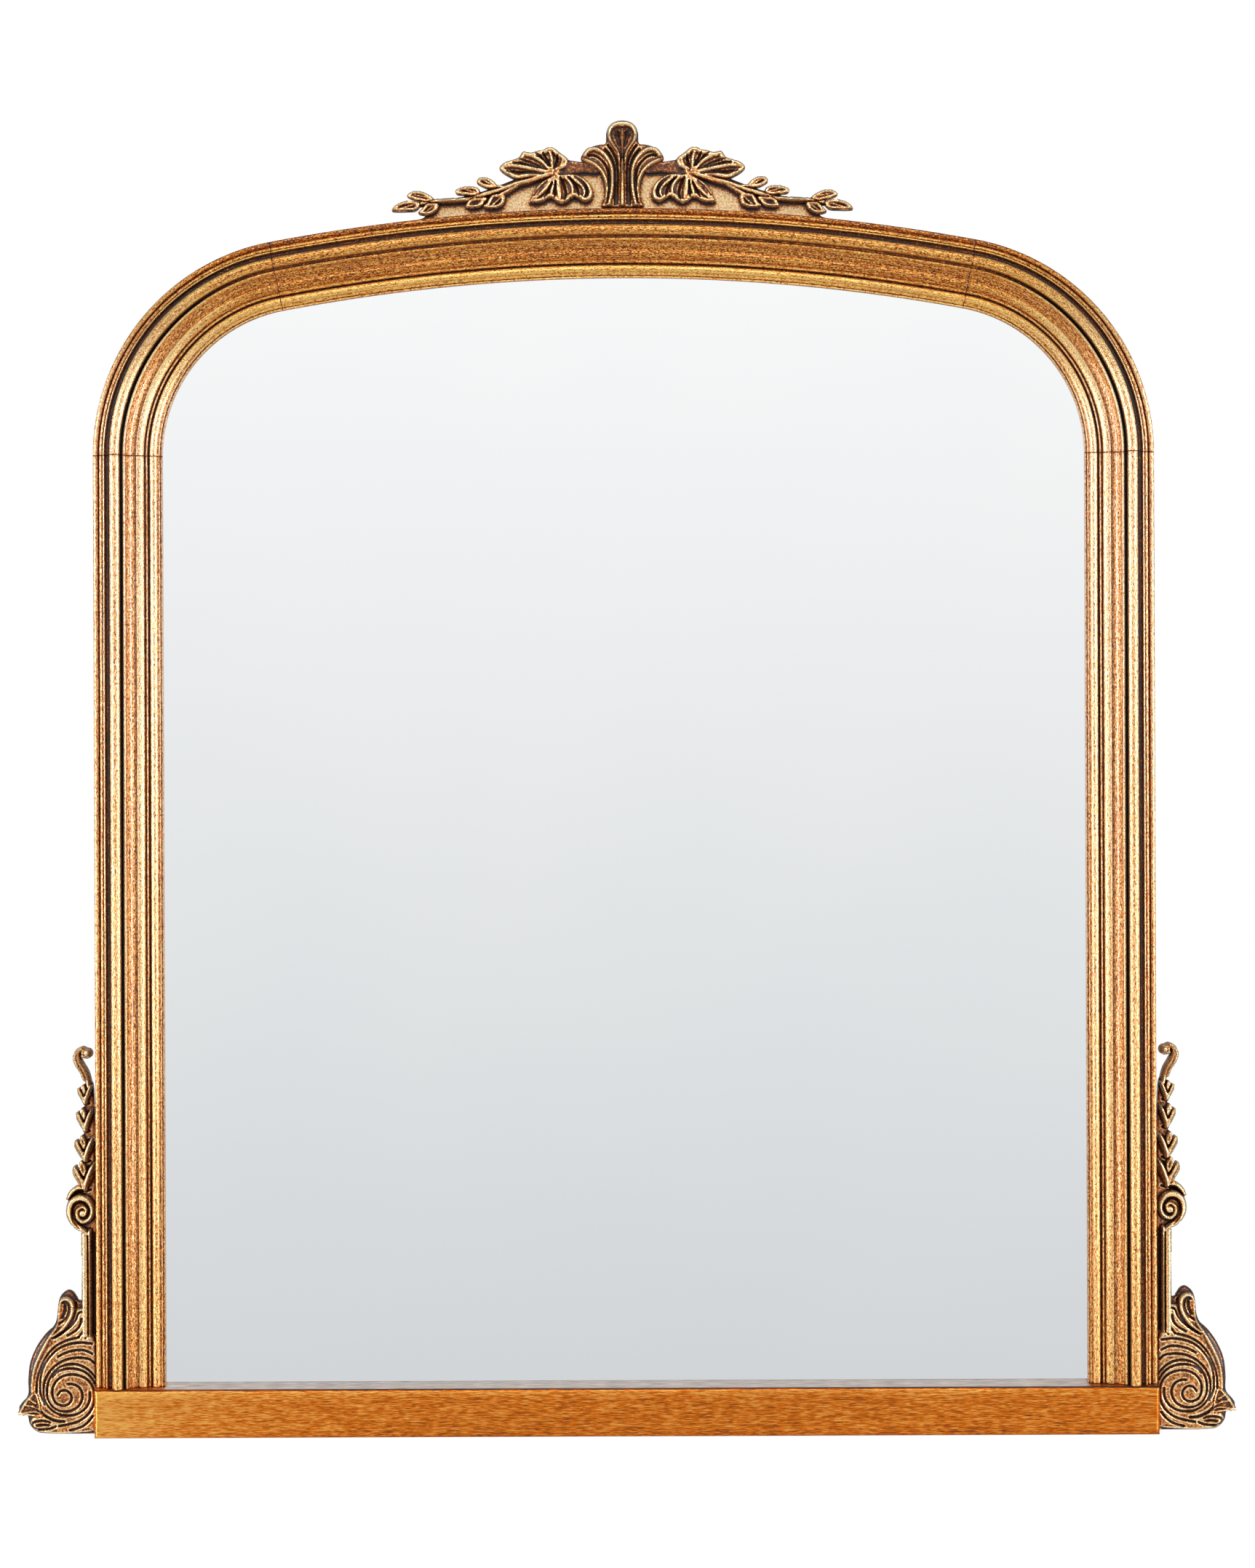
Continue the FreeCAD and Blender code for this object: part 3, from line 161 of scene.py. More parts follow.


# %% [markdown]
# Shader groups for the gilding
#
# Gold leaf over a red clay ground is never one flat colour. Along a moulding it shows streaks
# from the burnishing, everywhere it has a fine stipple, its high edges are rubbed bright, and
# wax has stayed in the hollows. The same tone scale also carries painted highlights and painted
# shade. Each effect is a node group with named sockets, so that the moulding, the rail and the
# carvings can share it with their own values. The groups put out only colours and values, and
# each material keeps its own Principled shader.

# %% Node helpers
def group_tree(name, inputs, outputs):
    """An empty shader node group. A default of four numbers is a colour, of three a place."""
    tree = bpy.data.node_groups.new(name, "ShaderNodeTree")
    for socket, default in inputs:
        kind = "NodeSocketFloat"
        if isinstance(default, tuple):
            kind = "NodeSocketColor" if len(default) == 4 else "NodeSocketVector"
        tree.interface.new_socket(socket, in_out="INPUT", socket_type=kind).default_value = default
    for socket, kind in outputs:
        tree.interface.new_socket(socket, in_out="OUTPUT", socket_type=kind)
    return tree, tree.nodes.new("NodeGroupInput"), tree.nodes.new("NodeGroupOutput")


def add_node(tree, kind, inputs=None, **settings):
    """A node with its settings, and its inputs linked or set by name or number."""
    node = tree.nodes.new(kind)
    for key, value in settings.items():
        setattr(node, key, value)
    for key, value in (inputs or {}).items():
        if isinstance(value, bpy.types.NodeSocket):
            tree.links.new(value, node.inputs[key])
        else:
            node.inputs[key].default_value = value
    return node


def calculate(tree, operation, first, second):
    return add_node(tree, "ShaderNodeMath", {0: first, 1: second}, operation=operation).outputs[0]


def product(tree, first, second):
    return calculate(tree, "MULTIPLY", first, second)


def total(tree, first, second):
    return calculate(tree, "ADD", first, second)


def mixed(tree, share, first, second):
    """A colour mix."""
    return add_node(tree, "ShaderNodeMix", {0: share, 6: first, 7: second}, data_type="RGBA").outputs[2]


def ranged(tree, value, low, high, to_low=0.0, to_high=1.0):
    """A value moved from one range to another, and held within it."""
    node = add_node(tree, "ShaderNodeMapRange", {0: value, 1: low, 2: high, 3: to_low, 4: to_high})
    return node.outputs[0]


def shaded(tree, field, low, high, first, second):
    """One colour that turns into a second one as a field rises from low to high."""
    return mixed(tree, ranged(tree, field, low, high), first, second)


def noise(tree, where, scale, detail, roughness=0.5):
    return add_node(tree, "ShaderNodeTexNoise", {"Vector": where, "Scale": scale, "Detail": detail,
                                                 "Roughness": roughness}).outputs[0]


def colour(red, green, blue):
    """A colour given as it looks on the screen, from 0 to 255, as the shader wants it."""
    linear = []
    for part in (red, green, blue):
        share = part / 255
        linear.append(share / 12.92 if share <= 0.04045 else ((share + 0.055) / 1.055) ** 2.4)
    return (*linear, 1.0)


# %% The stipple that covers all the gilding
STIPPLES_PER_METRE = 1 / (1.5 * MM)
GRAINS_PER_METRE = 1 / (0.6 * MM)
CLOUDS_PER_METRE = 1 / (38 * MM)

tree, source, result = group_tree(
    "Gilding stipple", [("Coarse", 0.6), ("Where", (0.0, 0.0, 0.0))],
    [("Value", "NodeSocketFloat"), ("Clouds", "NodeSocketFloat")])
where = source.outputs["Where"]
spots = noise(tree, where, STIPPLES_PER_METRE, 2.0)
grains = noise(tree, where, GRAINS_PER_METRE, 1.0)
clouds = noise(tree, where, CLOUDS_PER_METRE, 3.0)
blend = add_node(tree, "ShaderNodeMix", {0: source.outputs["Coarse"], 2: grains, 3: spots}).outputs[0]
tree.links.new(ranged(tree, blend, 0.34, 0.66), result.inputs["Value"])
tree.links.new(ranged(tree, clouds, 0.35, 0.65), result.inputs["Clouds"])
stipple_group = tree

# %% The streaks that run along a moulding
# Each kind of streak, with its length and its width in millimetres
STREAKS = (("Fine", 46.0, 0.55), ("Broad", 150.0, 2.6))

tree, source, result = group_tree(
    "Burnishing streaks", [("Along", 0.0), ("Across", 0.0)],
    [("Fine", "NodeSocketFloat"), ("Broad", "NodeSocketFloat")])
for output, length, width in STREAKS:
    place = add_node(tree, "ShaderNodeCombineXYZ", {
        0: calculate(tree, "DIVIDE", source.outputs["Along"], length),
        1: calculate(tree, "DIVIDE", source.outputs["Across"], width)})
    lines = noise(tree, place.outputs[0], 1.0, 3.0, 0.6)
    tree.links.new(ranged(tree, lines, 0.32, 0.68), result.inputs[output])
streak_group = tree

# %% Gold, ground and wax by relief, with painted light and shade
# The tone scale runs from the darkest colour to the palest. On the moulding its dark end is partly wax and
# partly painted shade, and its pale end partly rubbed leaf and partly painted highlight.
WAX_AND_SHADE = colour(26, 11, 7)
UMBER = colour(84, 38, 18)
BOLE = colour(152, 76, 38)
GOLD = colour(222, 142, 62)
PALE_GOLD = colour(255, 226, 172)

tree, source, result = group_tree(
    "Aged gilding",
    [("Relief", 0.5), ("Streak", 0.5), ("Stipple", 0.5), ("Clouds", 0.5), ("Grain", 0.4), ("Sway", 0.34),
     ("Warmth", 0.5), ("Ground", BOLE), ("Gold", GOLD), ("Pale", PALE_GOLD)],
    [("Color", "NodeSocketColor"), ("Metal", "NodeSocketFloat"), ("Roughness", "NodeSocketFloat"),
     ("Height", "NodeSocketFloat")])
given = source.outputs
jitter = product(tree, calculate(tree, "SUBTRACT", given["Stipple"], 0.5), given["Grain"])
sway = product(tree, calculate(tree, "SUBTRACT", given["Streak"], 0.5), given["Sway"])
tone = total(tree, total(tree, given["Relief"], jitter), sway)
shade = WAX_AND_SHADE
for low, high, brighter in ((0.08, 0.26, UMBER), (0.26, 0.42, given["Ground"]),
                            (0.42, 0.58, given["Gold"]), (0.60, 0.95, given["Pale"])):
    shade = shaded(tree, tone, low, high, shade, brighter)
rubbed = product(tree, ranged(tree, given["Clouds"], 0.45, 0.95), given["Warmth"])
shade = mixed(tree, product(tree, rubbed, 0.5), shade, given["Ground"])
tree.links.new(shade, result.inputs["Color"])
tree.links.new(ranged(tree, tone, 0.12, 0.42, 0.15, 0.85), result.inputs["Metal"])
rough = total(tree, ranged(tree, tone, 0.15, 0.85, 0.55, 0.28), product(tree, jitter, 0.4))
tree.links.new(rough, result.inputs["Roughness"])
grain_height = total(tree, product(tree, given["Stipple"], 0.6), product(tree, given["Streak"], 0.4))
tree.links.new(grain_height, result.inputs["Height"])
gilding_group = tree

# %% [markdown]
# The materials
#
# Each material places the groups with its own values. The moulding reads its streaks from the
# mesh attributes, which bend round the arch with it. Its gold is warmer and less highlit where
# the attribute "warm_no_highlight" says so, painted as less lit on the arch and at the feet. The
# rail is straight, so its streaks simply follow X, and beside the glass its top edge carries a
# painted reflection of the glass's edge. The carvings have no streaks, but a stronger relief and
# more wax.

# %% Material helpers
def new_material(name):
    material = bpy.data.materials.new(name)
    material.use_nodes = True
    tree = material.node_tree
    return material, tree, tree.nodes["Principled BSDF"]


def attribute(tree, name):
    return add_node(tree, "ShaderNodeAttribute", attribute_name=name).outputs["Fac"]


def object_place(tree):
    """Where a point is in its own object, in metres."""
    return add_node(tree, "ShaderNodeTexCoord").outputs["Object"]


def stretched(tree, where, *scale):
    """A place with its axes scaled, so that the noise put on it is drawn out."""
    return add_node(tree, "ShaderNodeMapping", {"Vector": where, "Scale": scale}).outputs[0]


def use_group(tree, group, inputs):
    return add_node(tree, "ShaderNodeGroup", node_tree=group, inputs=inputs).outputs


def bump(tree, shader, height, strength, depth_mm):
    """Bumps of a depth in millimetres."""
    node = add_node(tree, "ShaderNodeBump", {"Height": height, "Strength": strength,
                                             "Distance": depth_mm * MM})
    tree.links.new(node.outputs[0], shader.inputs["Normal"])


def paint(tree, shader, shade, roughness):
    """A plain finish of one shade."""
    tree.links.new(shade, shader.inputs["Base Color"])
    shader.inputs["Roughness"].default_value = roughness


def gild(tree, shader, streak, where, coarse, strength, values):
    """Connect the gilding groups to a material's shader.

    Coarse is the share of coarse stipple, strength is that of the bumps, and the values go to
    the gilding group.
    """
    stipple = use_group(tree, stipple_group, {"Coarse": coarse, "Where": where})
    leafed = use_group(tree, gilding_group, {
        "Relief": attribute(tree, "relief"), "Streak": streak, "Stipple": stipple["Value"],
        "Clouds": stipple["Clouds"], **values})
    tree.links.new(leafed["Color"], shader.inputs["Base Color"])
    tree.links.new(leafed["Metal"], shader.inputs["Metallic"])
    tree.links.new(leafed["Roughness"], shader.inputs["Roughness"])
    bump(tree, shader, leafed["Height"], strength, 0.25)


def along_and_across(tree, fine_share, along, across):
    """Streaks from two places in streak units: so much of the fine ones, and the rest broad."""
    streaks = use_group(tree, streak_group, {"Along": along, "Across": across})
    return total(tree, product(tree, streaks["Fine"], fine_share),
                 product(tree, streaks["Broad"], 1 - fine_share))


def varnish(shader, weight, roughness):
    """A clear varnish over the leaf, which reflects lamps as white."""
    shader.inputs["Coat Weight"].default_value = weight
    shader.inputs["Coat Roughness"].default_value = roughness
    shader.inputs["Coat IOR"].default_value = 1.5


# %% Gilded materials
# Where the attribute for warmth is high, on the arch and at the feet, the gold is more saturated and less pale
# and the varnish thinner: painted as less lit than the stiles.
moulding_gilt, tree, shader = new_material("moulding_gilding")
along, across, warm_no_highlight = (attribute(tree, name) for name in ("along", "across", "warm_no_highlight"))
brushed = add_node(tree, "ShaderNodeCombineXYZ", {0: product(tree, along, MM / 2.6),
                                                  1: product(tree, across, MM)})
gild(tree, shader, along_and_across(tree, 0.6, along, across), brushed.outputs[0], 0.4, 1.0, {
    "Grain": ranged(tree, warm_no_highlight, 0, 1, 0.88, 1.1), "Sway": ranged(tree, warm_no_highlight, 0, 1, 0.4, 0.6),
    "Warmth": 0.25, "Ground": mixed(tree, warm_no_highlight, colour(146, 80, 36), colour(168, 82, 20)),
    "Gold": mixed(tree, warm_no_highlight, colour(212, 132, 54), colour(218, 128, 22)),
    "Pale": mixed(tree, warm_no_highlight, colour(255, 226, 186), colour(254, 214, 126))})
varnish(shader, 0.8, 0.12)
tree.links.new(ranged(tree, warm_no_highlight, 0, 1, 0.8, 0.25), shader.inputs["Coat Weight"])

rail_gilt, tree, shader = new_material("rail_gilding")
where = object_place(tree)
split = add_node(tree, "ShaderNodeSeparateXYZ", {0: where}).outputs
streaks = along_and_across(tree, 0.7, calculate(tree, "DIVIDE", split["X"], 0.45 * MM),
                           calculate(tree, "DIVIDE", split["Z"], 1.3 * MM))
gild(tree, shader, streaks, stretched(tree, where, 0.12, 1, 1), 0.3, 0.5, {
    "Grain": 0.42, "Warmth": 0.25, "Ground": colour(164, 82, 18), "Gold": colour(214, 110, 12),
    "Pale": colour(250, 186, 92)})

# A painted reflection of the glass's edge on the rail's top face beside the glass: grey streaks.
glass_edge_reflection, tree, shader = new_material("rail_glass_edge_reflection")
reflection_streaks = noise(tree, stretched(tree, object_place(tree), 0.1, 1, 1), 700, 2)
paint(tree, shader, shaded(tree, reflection_streaks, 0.4, 0.64, colour(128, 110, 102), colour(196, 184, 174)), 0.35)

carving_gilt, tree, shader = new_material("carving_gilding")
gild(tree, shader, 0.5, object_place(tree), 0.8, 0.8, {
    "Grain": 0.5, "Warmth": 0.15, "Ground": colour(138, 76, 38), "Gold": colour(219, 143, 66),
    "Pale": colour(255, 232, 182)})
varnish(shader, 0.6, 0.18)

bare_wood, tree, shader = new_material("bare_pine_back")
where = object_place(tree)
grain = noise(tree, stretched(tree, where, 900, 900, 26), 1, 4, 0.62)
rings = noise(tree, where, 24, 2)
shade = shaded(tree, grain, 0.35, 0.68, colour(190, 150, 104), colour(138, 98, 60))
shade = mixed(tree, ranged(tree, rings, 0.45, 0.75, 0.0, 0.45), shade, colour(150, 112, 72))
paint(tree, shader, shade, 0.72)
bump(tree, shader, grain, 0.3, 0.3)

# %% [markdown]
# The moulding's section
#
# All five lengths of moulding were cut from one run, so they share one section. It could be
# drawn as a curve and bevelled, but a list of bands in the order that a maker would plane them
# says more: each band has a width, a level at each end, a form, and a tone for its finish. A
# dark tone is partly where wax has stayed and partly painted shade, and a bright one is partly
# where leaf has been rubbed and partly a painted highlight. The stiles' tones are painted as lit
# by the side lamps, with bright highlights and dark grooves, and the arch's tones are flatter.

# %% Bands of the moulding, from the outer edge inwards
# Name, width, level at the start and end, form, bow, tone on the stiles, tone on the arch, and
# how much fuller the band is on the arch. Both tones hold painted highlights and painted shade.
BANDS = (
    ("outer bead", 3.8, 14.3, 14.6, "bead", 1.5, 0.72, 0.38, 0),
    ("edge groove", 0.7, 14.4, 14.4, "cove", 0.4, 0.10, 0.48, 0.3),
    ("second bead", 2.8, 15.0, 15.8, "bead", 1.0, 0.62, 0.66, 0),
    ("fillet groove", 0.5, 15.9, 15.9, "flat", 0.0, 0.16, 0.14, 0),
    ("outer fillet", 1.5, 20.0, 20.0, "bead", 0.3, 0.86, 0.80, 0),
    ("hollow", 3.7, 18.6, 18.6, "cove", 1.5, 0.22, 0.12, 0),
    ("torus", 7.7, 22.6, 22.6, "bead", 4.0, 0.74, 0.60, -1.0),
    ("deep groove", 1.9, 15.6, 15.6, "cove", 0.5, 0.02, 0.36, 4.6),
    ("inner fillet", 1.9, 20.9, 20.7, "bead", 0.4, 0.80, 0.62, 0),
    ("cove", 7.1, 20.4, 15.2, "cove", 1.7, 0.60, 0.56, 0.6),
    ("ogee", 5.9, 15.2, 12.8, "bead", 1.8, 0.86, 0.52, 0),
    ("small groove", 0.9, 11.8, 11.8, "flat", 0.0, 0.22, 0.60, 0.6),
    ("small bead", 1.7, 12.0, 11.5, "bead", 0.9, 0.74, 0.72, 0),
    ("inner groove", 1.2, 10.9, 10.9, "cove", 0.3, 0.04, 0.02, -0.3),
    ("inner bead", 5.4, 11.4, 12.0, "bead", 2.6, 0.80, 0.84, 0),
    ("lip groove", 1.1, 11.3, 11.3, "flat", 0.0, 0.66, 0.92, 0),
    ("lip fillet", 1.0, 11.4, 11.3, "bead", 0.2, 0.80, 0.9, 0),
    ("lip line", 0.5, 10.2, 10.2, "flat", 0.0, 0.04, 0.10, 0),
    ("lip", 1.1, 10.4, 10.4, "flat", 0.0, 0.80, 0.9, 0),
)
SECTION_STEP = 0.1
POINT_GAP = 0.42
REBATE_WIDTH = 8.0
REBATE_DEPTH = 7.5
SIDE_LEVEL = 14.5
EDGE_SOFTNESS = 0.18    # how far gesso rounds an edge
TONE_SOFTNESS = 0.22
# Edges that stand out are lighter: partly rubbed leaf, partly painted highlight.
RUB_AND_HIGHLIGHT = 0.10          # how much brighter an edge gets for each millimetre that it stands out
RUB_AND_HIGHLIGHT_REACH = 1.2


def band_levels(width, start, end, form, bow):
    """Levels along one band: a straight run plus a round bulge or hollow."""
    place = (np.arange(round(width / SECTION_STEP)) + 0.5) * SECTION_STEP / width
    swell = np.sqrt(np.clip(1 - (2 * place - 1) ** 2, 0, 1))
    sign = {"bead": 1.0, "cove": -1.0, "flat": 0.0}[form]
    return start + (end - start) * place + sign * bow * swell


def moulding_front(tone_column, fuller):
    """Inset, level and tone of points across the face, softened as gesso softens edges."""
    levels, tones = [], []
    for row in BANDS:
        band = band_levels(*row[1:6]) + fuller * row[8]
        levels.append(band)
        tones.append(np.full(len(band), row[tone_column]))
    levels = np.concatenate(levels)
    tones = np.concatenate(tones)
    soft = blurred(levels, EDGE_SOFTNESS / SECTION_STEP)
    broad = blurred(levels, RUB_AND_HIGHLIGHT_REACH / SECTION_STEP)
    tones = blurred(tones, TONE_SOFTNESS / SECTION_STEP) + RUB_AND_HIGHLIGHT * (soft - broad)
    return (np.arange(len(levels)) + 0.5) * SECTION_STEP, soft, np.clip(tones, 0, 1)


insets, stile_levels, stile_tones = moulding_front(6, 0.0)
_, arch_levels, arch_tones = moulding_front(7, 1.0)
run = np.concatenate([[0], np.cumsum(np.hypot(np.diff(insets), np.diff(stile_levels)))])
stops = np.linspace(0, run[-1], int(run[-1] / POINT_GAP))
face = [np.interp(stops, run, row)
        for row in (insets, stile_levels, arch_levels, stile_tones, arch_tones)]
inner = sum(band[1] for band in BANDS)
# Each point of the section: inset, its level and tone on the stiles and on the arch
section = [(0.0, level, level, 0.22, 0.16) for level in np.linspace(0, SIDE_LEVEL - 0.4, 7)]
section += list(zip(*face))
section += [(inner, 10.2, 10.2, 0.7, 0.6), (inner, REBATE_DEPTH, REBATE_DEPTH, 0.5, 0.4)]
first_bare = len(section) - 1
section += [(inner - REBATE_WIDTH, level, level, 0.1, 0.1) for level in (REBATE_DEPTH, 0)]
SECTION = np.array(section)
print("moulding %.1f mm wide, %d points round its section" % (inner, len(SECTION)))

# %% [markdown]
# Sweeping the section
#
# A curve with a bevel would do this too, but then nothing would say how far along a point is.
# Here rings of points are laid along the path one by one. Each ring has the place of the outer
# edge, the way inwards, and its distance along. The last ring at each end is drawn in by a
# third of a millimetre, so that a fine dark line shows at each joint, as on the real frame.

# %% Sweep helper
END_GAPS = (0.0, 0.25, 0.6, 1.4)
END_SINK = (0.35, 0.1, 0.0, 0.0)
END_TONES = (0.0, 0.45, 0.9, 1.0)
MIDDLE_TONE = 0.54
# By height, how much the gold is painted warmer and without the stiles' highlights.
WARM_HEIGHTS = (RAIL_TOP, RAIL_TOP + 600, SPRING_Z + 20, SPRING_Z + 150)
WARM_SHARES = (0.75, 0.0, 0.0, 1.0)


def stations(length, gap):
    """Distances along a piece, closer together at its two ends."""
    middle = np.linspace(END_GAPS[-1], length - END_GAPS[-1], max(2, int(length / gap)))
    ends = END_GAPS[:-1]
    return [*ends, *middle, *(length - end for end in reversed(ends))]


def end_value(distance, length, values):
    return float(np.interp(min(distance, length - distance), END_GAPS, values))


def tube_faces(rings, count, slot_of, end_slot):
    """Faces between rings of points and over the two ends, and the material slot of each."""
    faces, slots = [], []
    for ring in range(rings - 1):
        for point in range(count):
            after = (point + 1) % count
            faces.append((ring * count + point, ring * count + after,
                          (ring + 1) * count + after, (ring + 1) * count + point))
            slots.append(slot_of(ring, point))
    faces += [tuple(range(count)), tuple(range((rings - 1) * count, rings * count))]
    return faces, slots + [end_slot] * 2


def full_contrast(z):
    return 1.0


def sweep(name, places, node, offset=0.0, contrast=full_contrast):
    """A moulding from rings. A place is x and z of the outer edge, the way in, how far along it
    is, and how much it belongs to the arch.

    The offset is where its streaks start. The contrast says, for a height, how much of the
    difference between the painted light and dark tones is kept. The gold is warmer on the arch
    and at the feet, where it is painted as less lit.
    """
    length = places[-1][4]
    values = {"along": [], "across": [], "relief": [], "warm_no_highlight": []}
    verts = []
    steps = np.hypot(np.diff(SECTION[:, 0]), np.diff(SECTION[:, 1]))
    girth = np.concatenate([[0], np.cumsum(steps)])
    for x, z, way_x, way_z, distance, share in places:
        sink = end_value(distance, length, END_SINK)
        tone = end_value(distance, length, END_TONES)
        levels = SECTION[:, 1] * (1 - share) + SECTION[:, 2] * share
        tones = SECTION[:, 3] * (1 - share) + SECTION[:, 4] * share
        for inset, level, shade, turn in zip(SECTION[:, 0], levels, tones, girth):
            low = max(level - sink, 0.0) if level > REBATE_DEPTH else level
            verts.append(to_world(x + inset * way_x, low, z + inset * way_z))
            values["along"].append(offset + distance)
            values["across"].append(turn)
            values["relief"].append((MIDDLE_TONE + (shade - MIDDLE_TONE) * contrast(z)) * tone)
            values["warm_no_highlight"].append(float(np.interp(z, WARM_HEIGHTS, WARM_SHARES)))
    faces, slots = tube_faces(len(places), len(SECTION), lambda _, point: int(point >= first_bare), 1)
    new_piece(name, verts, faces, [node], values, slots, (moulding_gilt, bare_wood))


# %% Stiles and arch
# Distances between rings, and where each length's streaks start, so that no two look alike
STILE_GAP, CORNER_GAP, CROWN_GAP = 24.0, 2.6, 6.0
STILE_STREAKS, CORNER_STREAKS = 2000.0, 3400.0
STILE_FADE_HEIGHTS = (RAIL_TOP, RAIL_TOP + 180, RAIL_TOP + 330)
CORNER_GLEAM_HEIGHTS = (SPRING_Z + 15, SPRING_Z + 55, SPRING_Z + 110, SPRING_Z + 165)


def stile_contrast(z):
    """Toward their feet the stiles' tones are flattened: less painted highlight and painted shade there."""
    return float(np.interp(z, STILE_FADE_HEIGHTS, (0.8, 0.86, 1.0)))


def corner_contrast(z):
    """Half way round the bends the tones are pushed apart, for painted highlights there."""
    return float(np.interp(z, CORNER_GLEAM_HEIGHTS, (1.0, 1.5, 1.5, 1.0)))


for side, word in SIDES:
    places = [(side * FRAME_HALF, RAIL_TOP + run, -side, 0.0, run, 0.0)
              for run in stations(SPRING_Z - RAIL_TOP, STILE_GAP)]
    sweep(word + "_stile_moulding", places, word + "_stile", side * STILE_STREAKS, stile_contrast)
    arc = CORNER_RADIUS * (math.pi / 2 - LEAN)
    places = []
    for run in stations(arc, CORNER_GAP):
        angle = run / CORNER_RADIUS
        out_x, out_z = side * math.cos(angle), math.sin(angle)
        places.append((side * CORNER_X + CORNER_RADIUS * out_x, SPRING_Z + CORNER_RADIUS * out_z,
                       -out_x, -out_z, run, float(np.interp(run / arc, [0.5, 1], [0, 1]))))
    sweep(word + "_corner_moulding", places, word + "_corner_arch", side * CORNER_STREAKS,
          corner_contrast)
arc = CROWN_RADIUS * 2 * LEAN
places = []
for run in stations(arc, CROWN_GAP):
    angle = math.pi / 2 + LEAN - run / CROWN_RADIUS
    out_x, out_z = math.cos(angle), math.sin(angle)
    places.append((CROWN_RADIUS * out_x, CROWN_Z + CROWN_RADIUS * out_z, -out_x, -out_z, run, 1.0))
sweep("crown_moulding", places, "crown_arch")

# %% [markdown]
# The bottom rail
#
# Below the stepped moulding the real frame ends in a plain board with softened front edges. It
# is made of rings too: its section runs down from its top edge, and the rings go from end to
# end. Near the ends the level comes down in a quarter round, so the short edges are soft too.
# The rebate for the glass is left out where the stiles stand on the board.

# %% Rail
RAIL_HEIGHT = RAIL_TOP - FOOT_Z
RAIL_DEPTH = 26.5
RAIL_ROUND = 3.0
RAIL_RINGS = 39
REFLECTION_END = 50       # how far from each end the strip of painted reflection stops
LEFT_GLINT = 0.24   # how much brighter the left end is: a painted glint of the lamps
# Tones round the top front edge: a painted shadow line on top, and a painted highlight where the edge turns to
# the front.
EDGE_SHADE_AND_GLINT = (0.04, 0.04, 0.1, 0.5, 0.7, 0.72, 0.7)
# Each point of the section: how far below the top edge, its level, and its tone
quarter = np.linspace(0, math.pi / 2, 7)
rail_points = [(0.0, REBATE_DEPTH, 0.4), (0.0, RAIL_DEPTH - RAIL_ROUND - 1, 0.3)]
rail_points += [(RAIL_ROUND - RAIL_ROUND * math.cos(a),
                 RAIL_DEPTH - RAIL_ROUND + RAIL_ROUND * math.sin(a), tone)
                for a, tone in zip(quarter, EDGE_SHADE_AND_GLINT)]
rail_points += [(share * RAIL_HEIGHT, RAIL_DEPTH, 0.6) for share in (0.2, 0.35, 0.5, 0.65, 0.8)]
rail_points += [(RAIL_HEIGHT - RAIL_ROUND + RAIL_ROUND * math.sin(a),
                 RAIL_DEPTH - RAIL_ROUND + RAIL_ROUND * math.cos(a), 0.55) for a in quarter]
rail_points += [(RAIL_HEIGHT, RAIL_DEPTH * 0.5, 0.35), (RAIL_HEIGHT, 0.0, 0.3)]
rail_bare = len(rail_points) - 1
rail_points += [(REBATE_WIDTH, 0.0, 0.1), (REBATE_WIDTH, REBATE_DEPTH, 0.1)]


def rail_level(level, distance, length):
    """Bring the front down in a quarter round at the board's two ends."""
    end = min(distance, length - distance)
    if end >= RAIL_ROUND:
        return level
    drop = RAIL_ROUND - math.sqrt(RAIL_ROUND ** 2 - (RAIL_ROUND - end) ** 2)
    return min(level, RAIL_DEPTH - drop)


def make_rail():
    length = FRAME_HALF * 2
    soft = [RAIL_ROUND * (1 - math.cos(a)) for a in quarter]
    shoulder = inner - REBATE_WIDTH     # the glass rebate ends where the stiles stand
    rings = [(run, shoulder < run < length - shoulder)
             for run in (*soft, *np.linspace(10, length - 10, RAIL_RINGS), *(length - gap for gap in soft))]
    rings += [(run, cut) for run in (shoulder, length - shoulder) for cut in (True, False)]
    rings.sort(key=lambda ring: (ring[0], ring[1] != (ring[0] > length / 2)))
    verts, relief = [], []
    for run, cut in rings:
        x = run - FRAME_HALF
        for number, (drop, level, tone) in enumerate(rail_points):
            if number > rail_bare and not cut:
                drop, level = 0.0, REBATE_DEPTH * (number - rail_bare - 1) / 2
            verts.append(to_world(x, rail_level(level, run, length), RAIL_TOP - drop))
            relief.append(tone + LEFT_GLINT * max(-x / FRAME_HALF, 0) ** 4)

    def slot_of(ring, point):
        """Bare wood behind, a painted reflection of the glass's edge beside the glass, and gilding on the rest.
        """
        if point >= rail_bare:
            return 1
        middle = (rings[ring][0] + rings[ring + 1][0]) / 2
        return 2 if point == 0 and abs(middle - FRAME_HALF) < FRAME_HALF - REFLECTION_END else 0

    faces, slots = tube_faces(len(rings), len(rail_points), slot_of, 0)
    new_piece("bottom_rail_board", verts, faces, ["bottom_rail"],
              {"relief": relief}, slots, (rail_gilt, bare_wood, glass_edge_reflection))


make_rail()

# %% [markdown]
# Carving in relief
#
# The carvings are shallow reliefs: ridges, rims and hollows cut into a thin board. Sculpting
# them by hand can't be written down, and bevelled curves don't melt into each other. So each
# carving is a height field. A carver's drawing is laid on a fine grid, its centre-lines and
# outlines raise or lower the grid, and the grid is then cut along the outer edge of the forms.

# %% Smooth lines through drawn points
CELL = 0.6


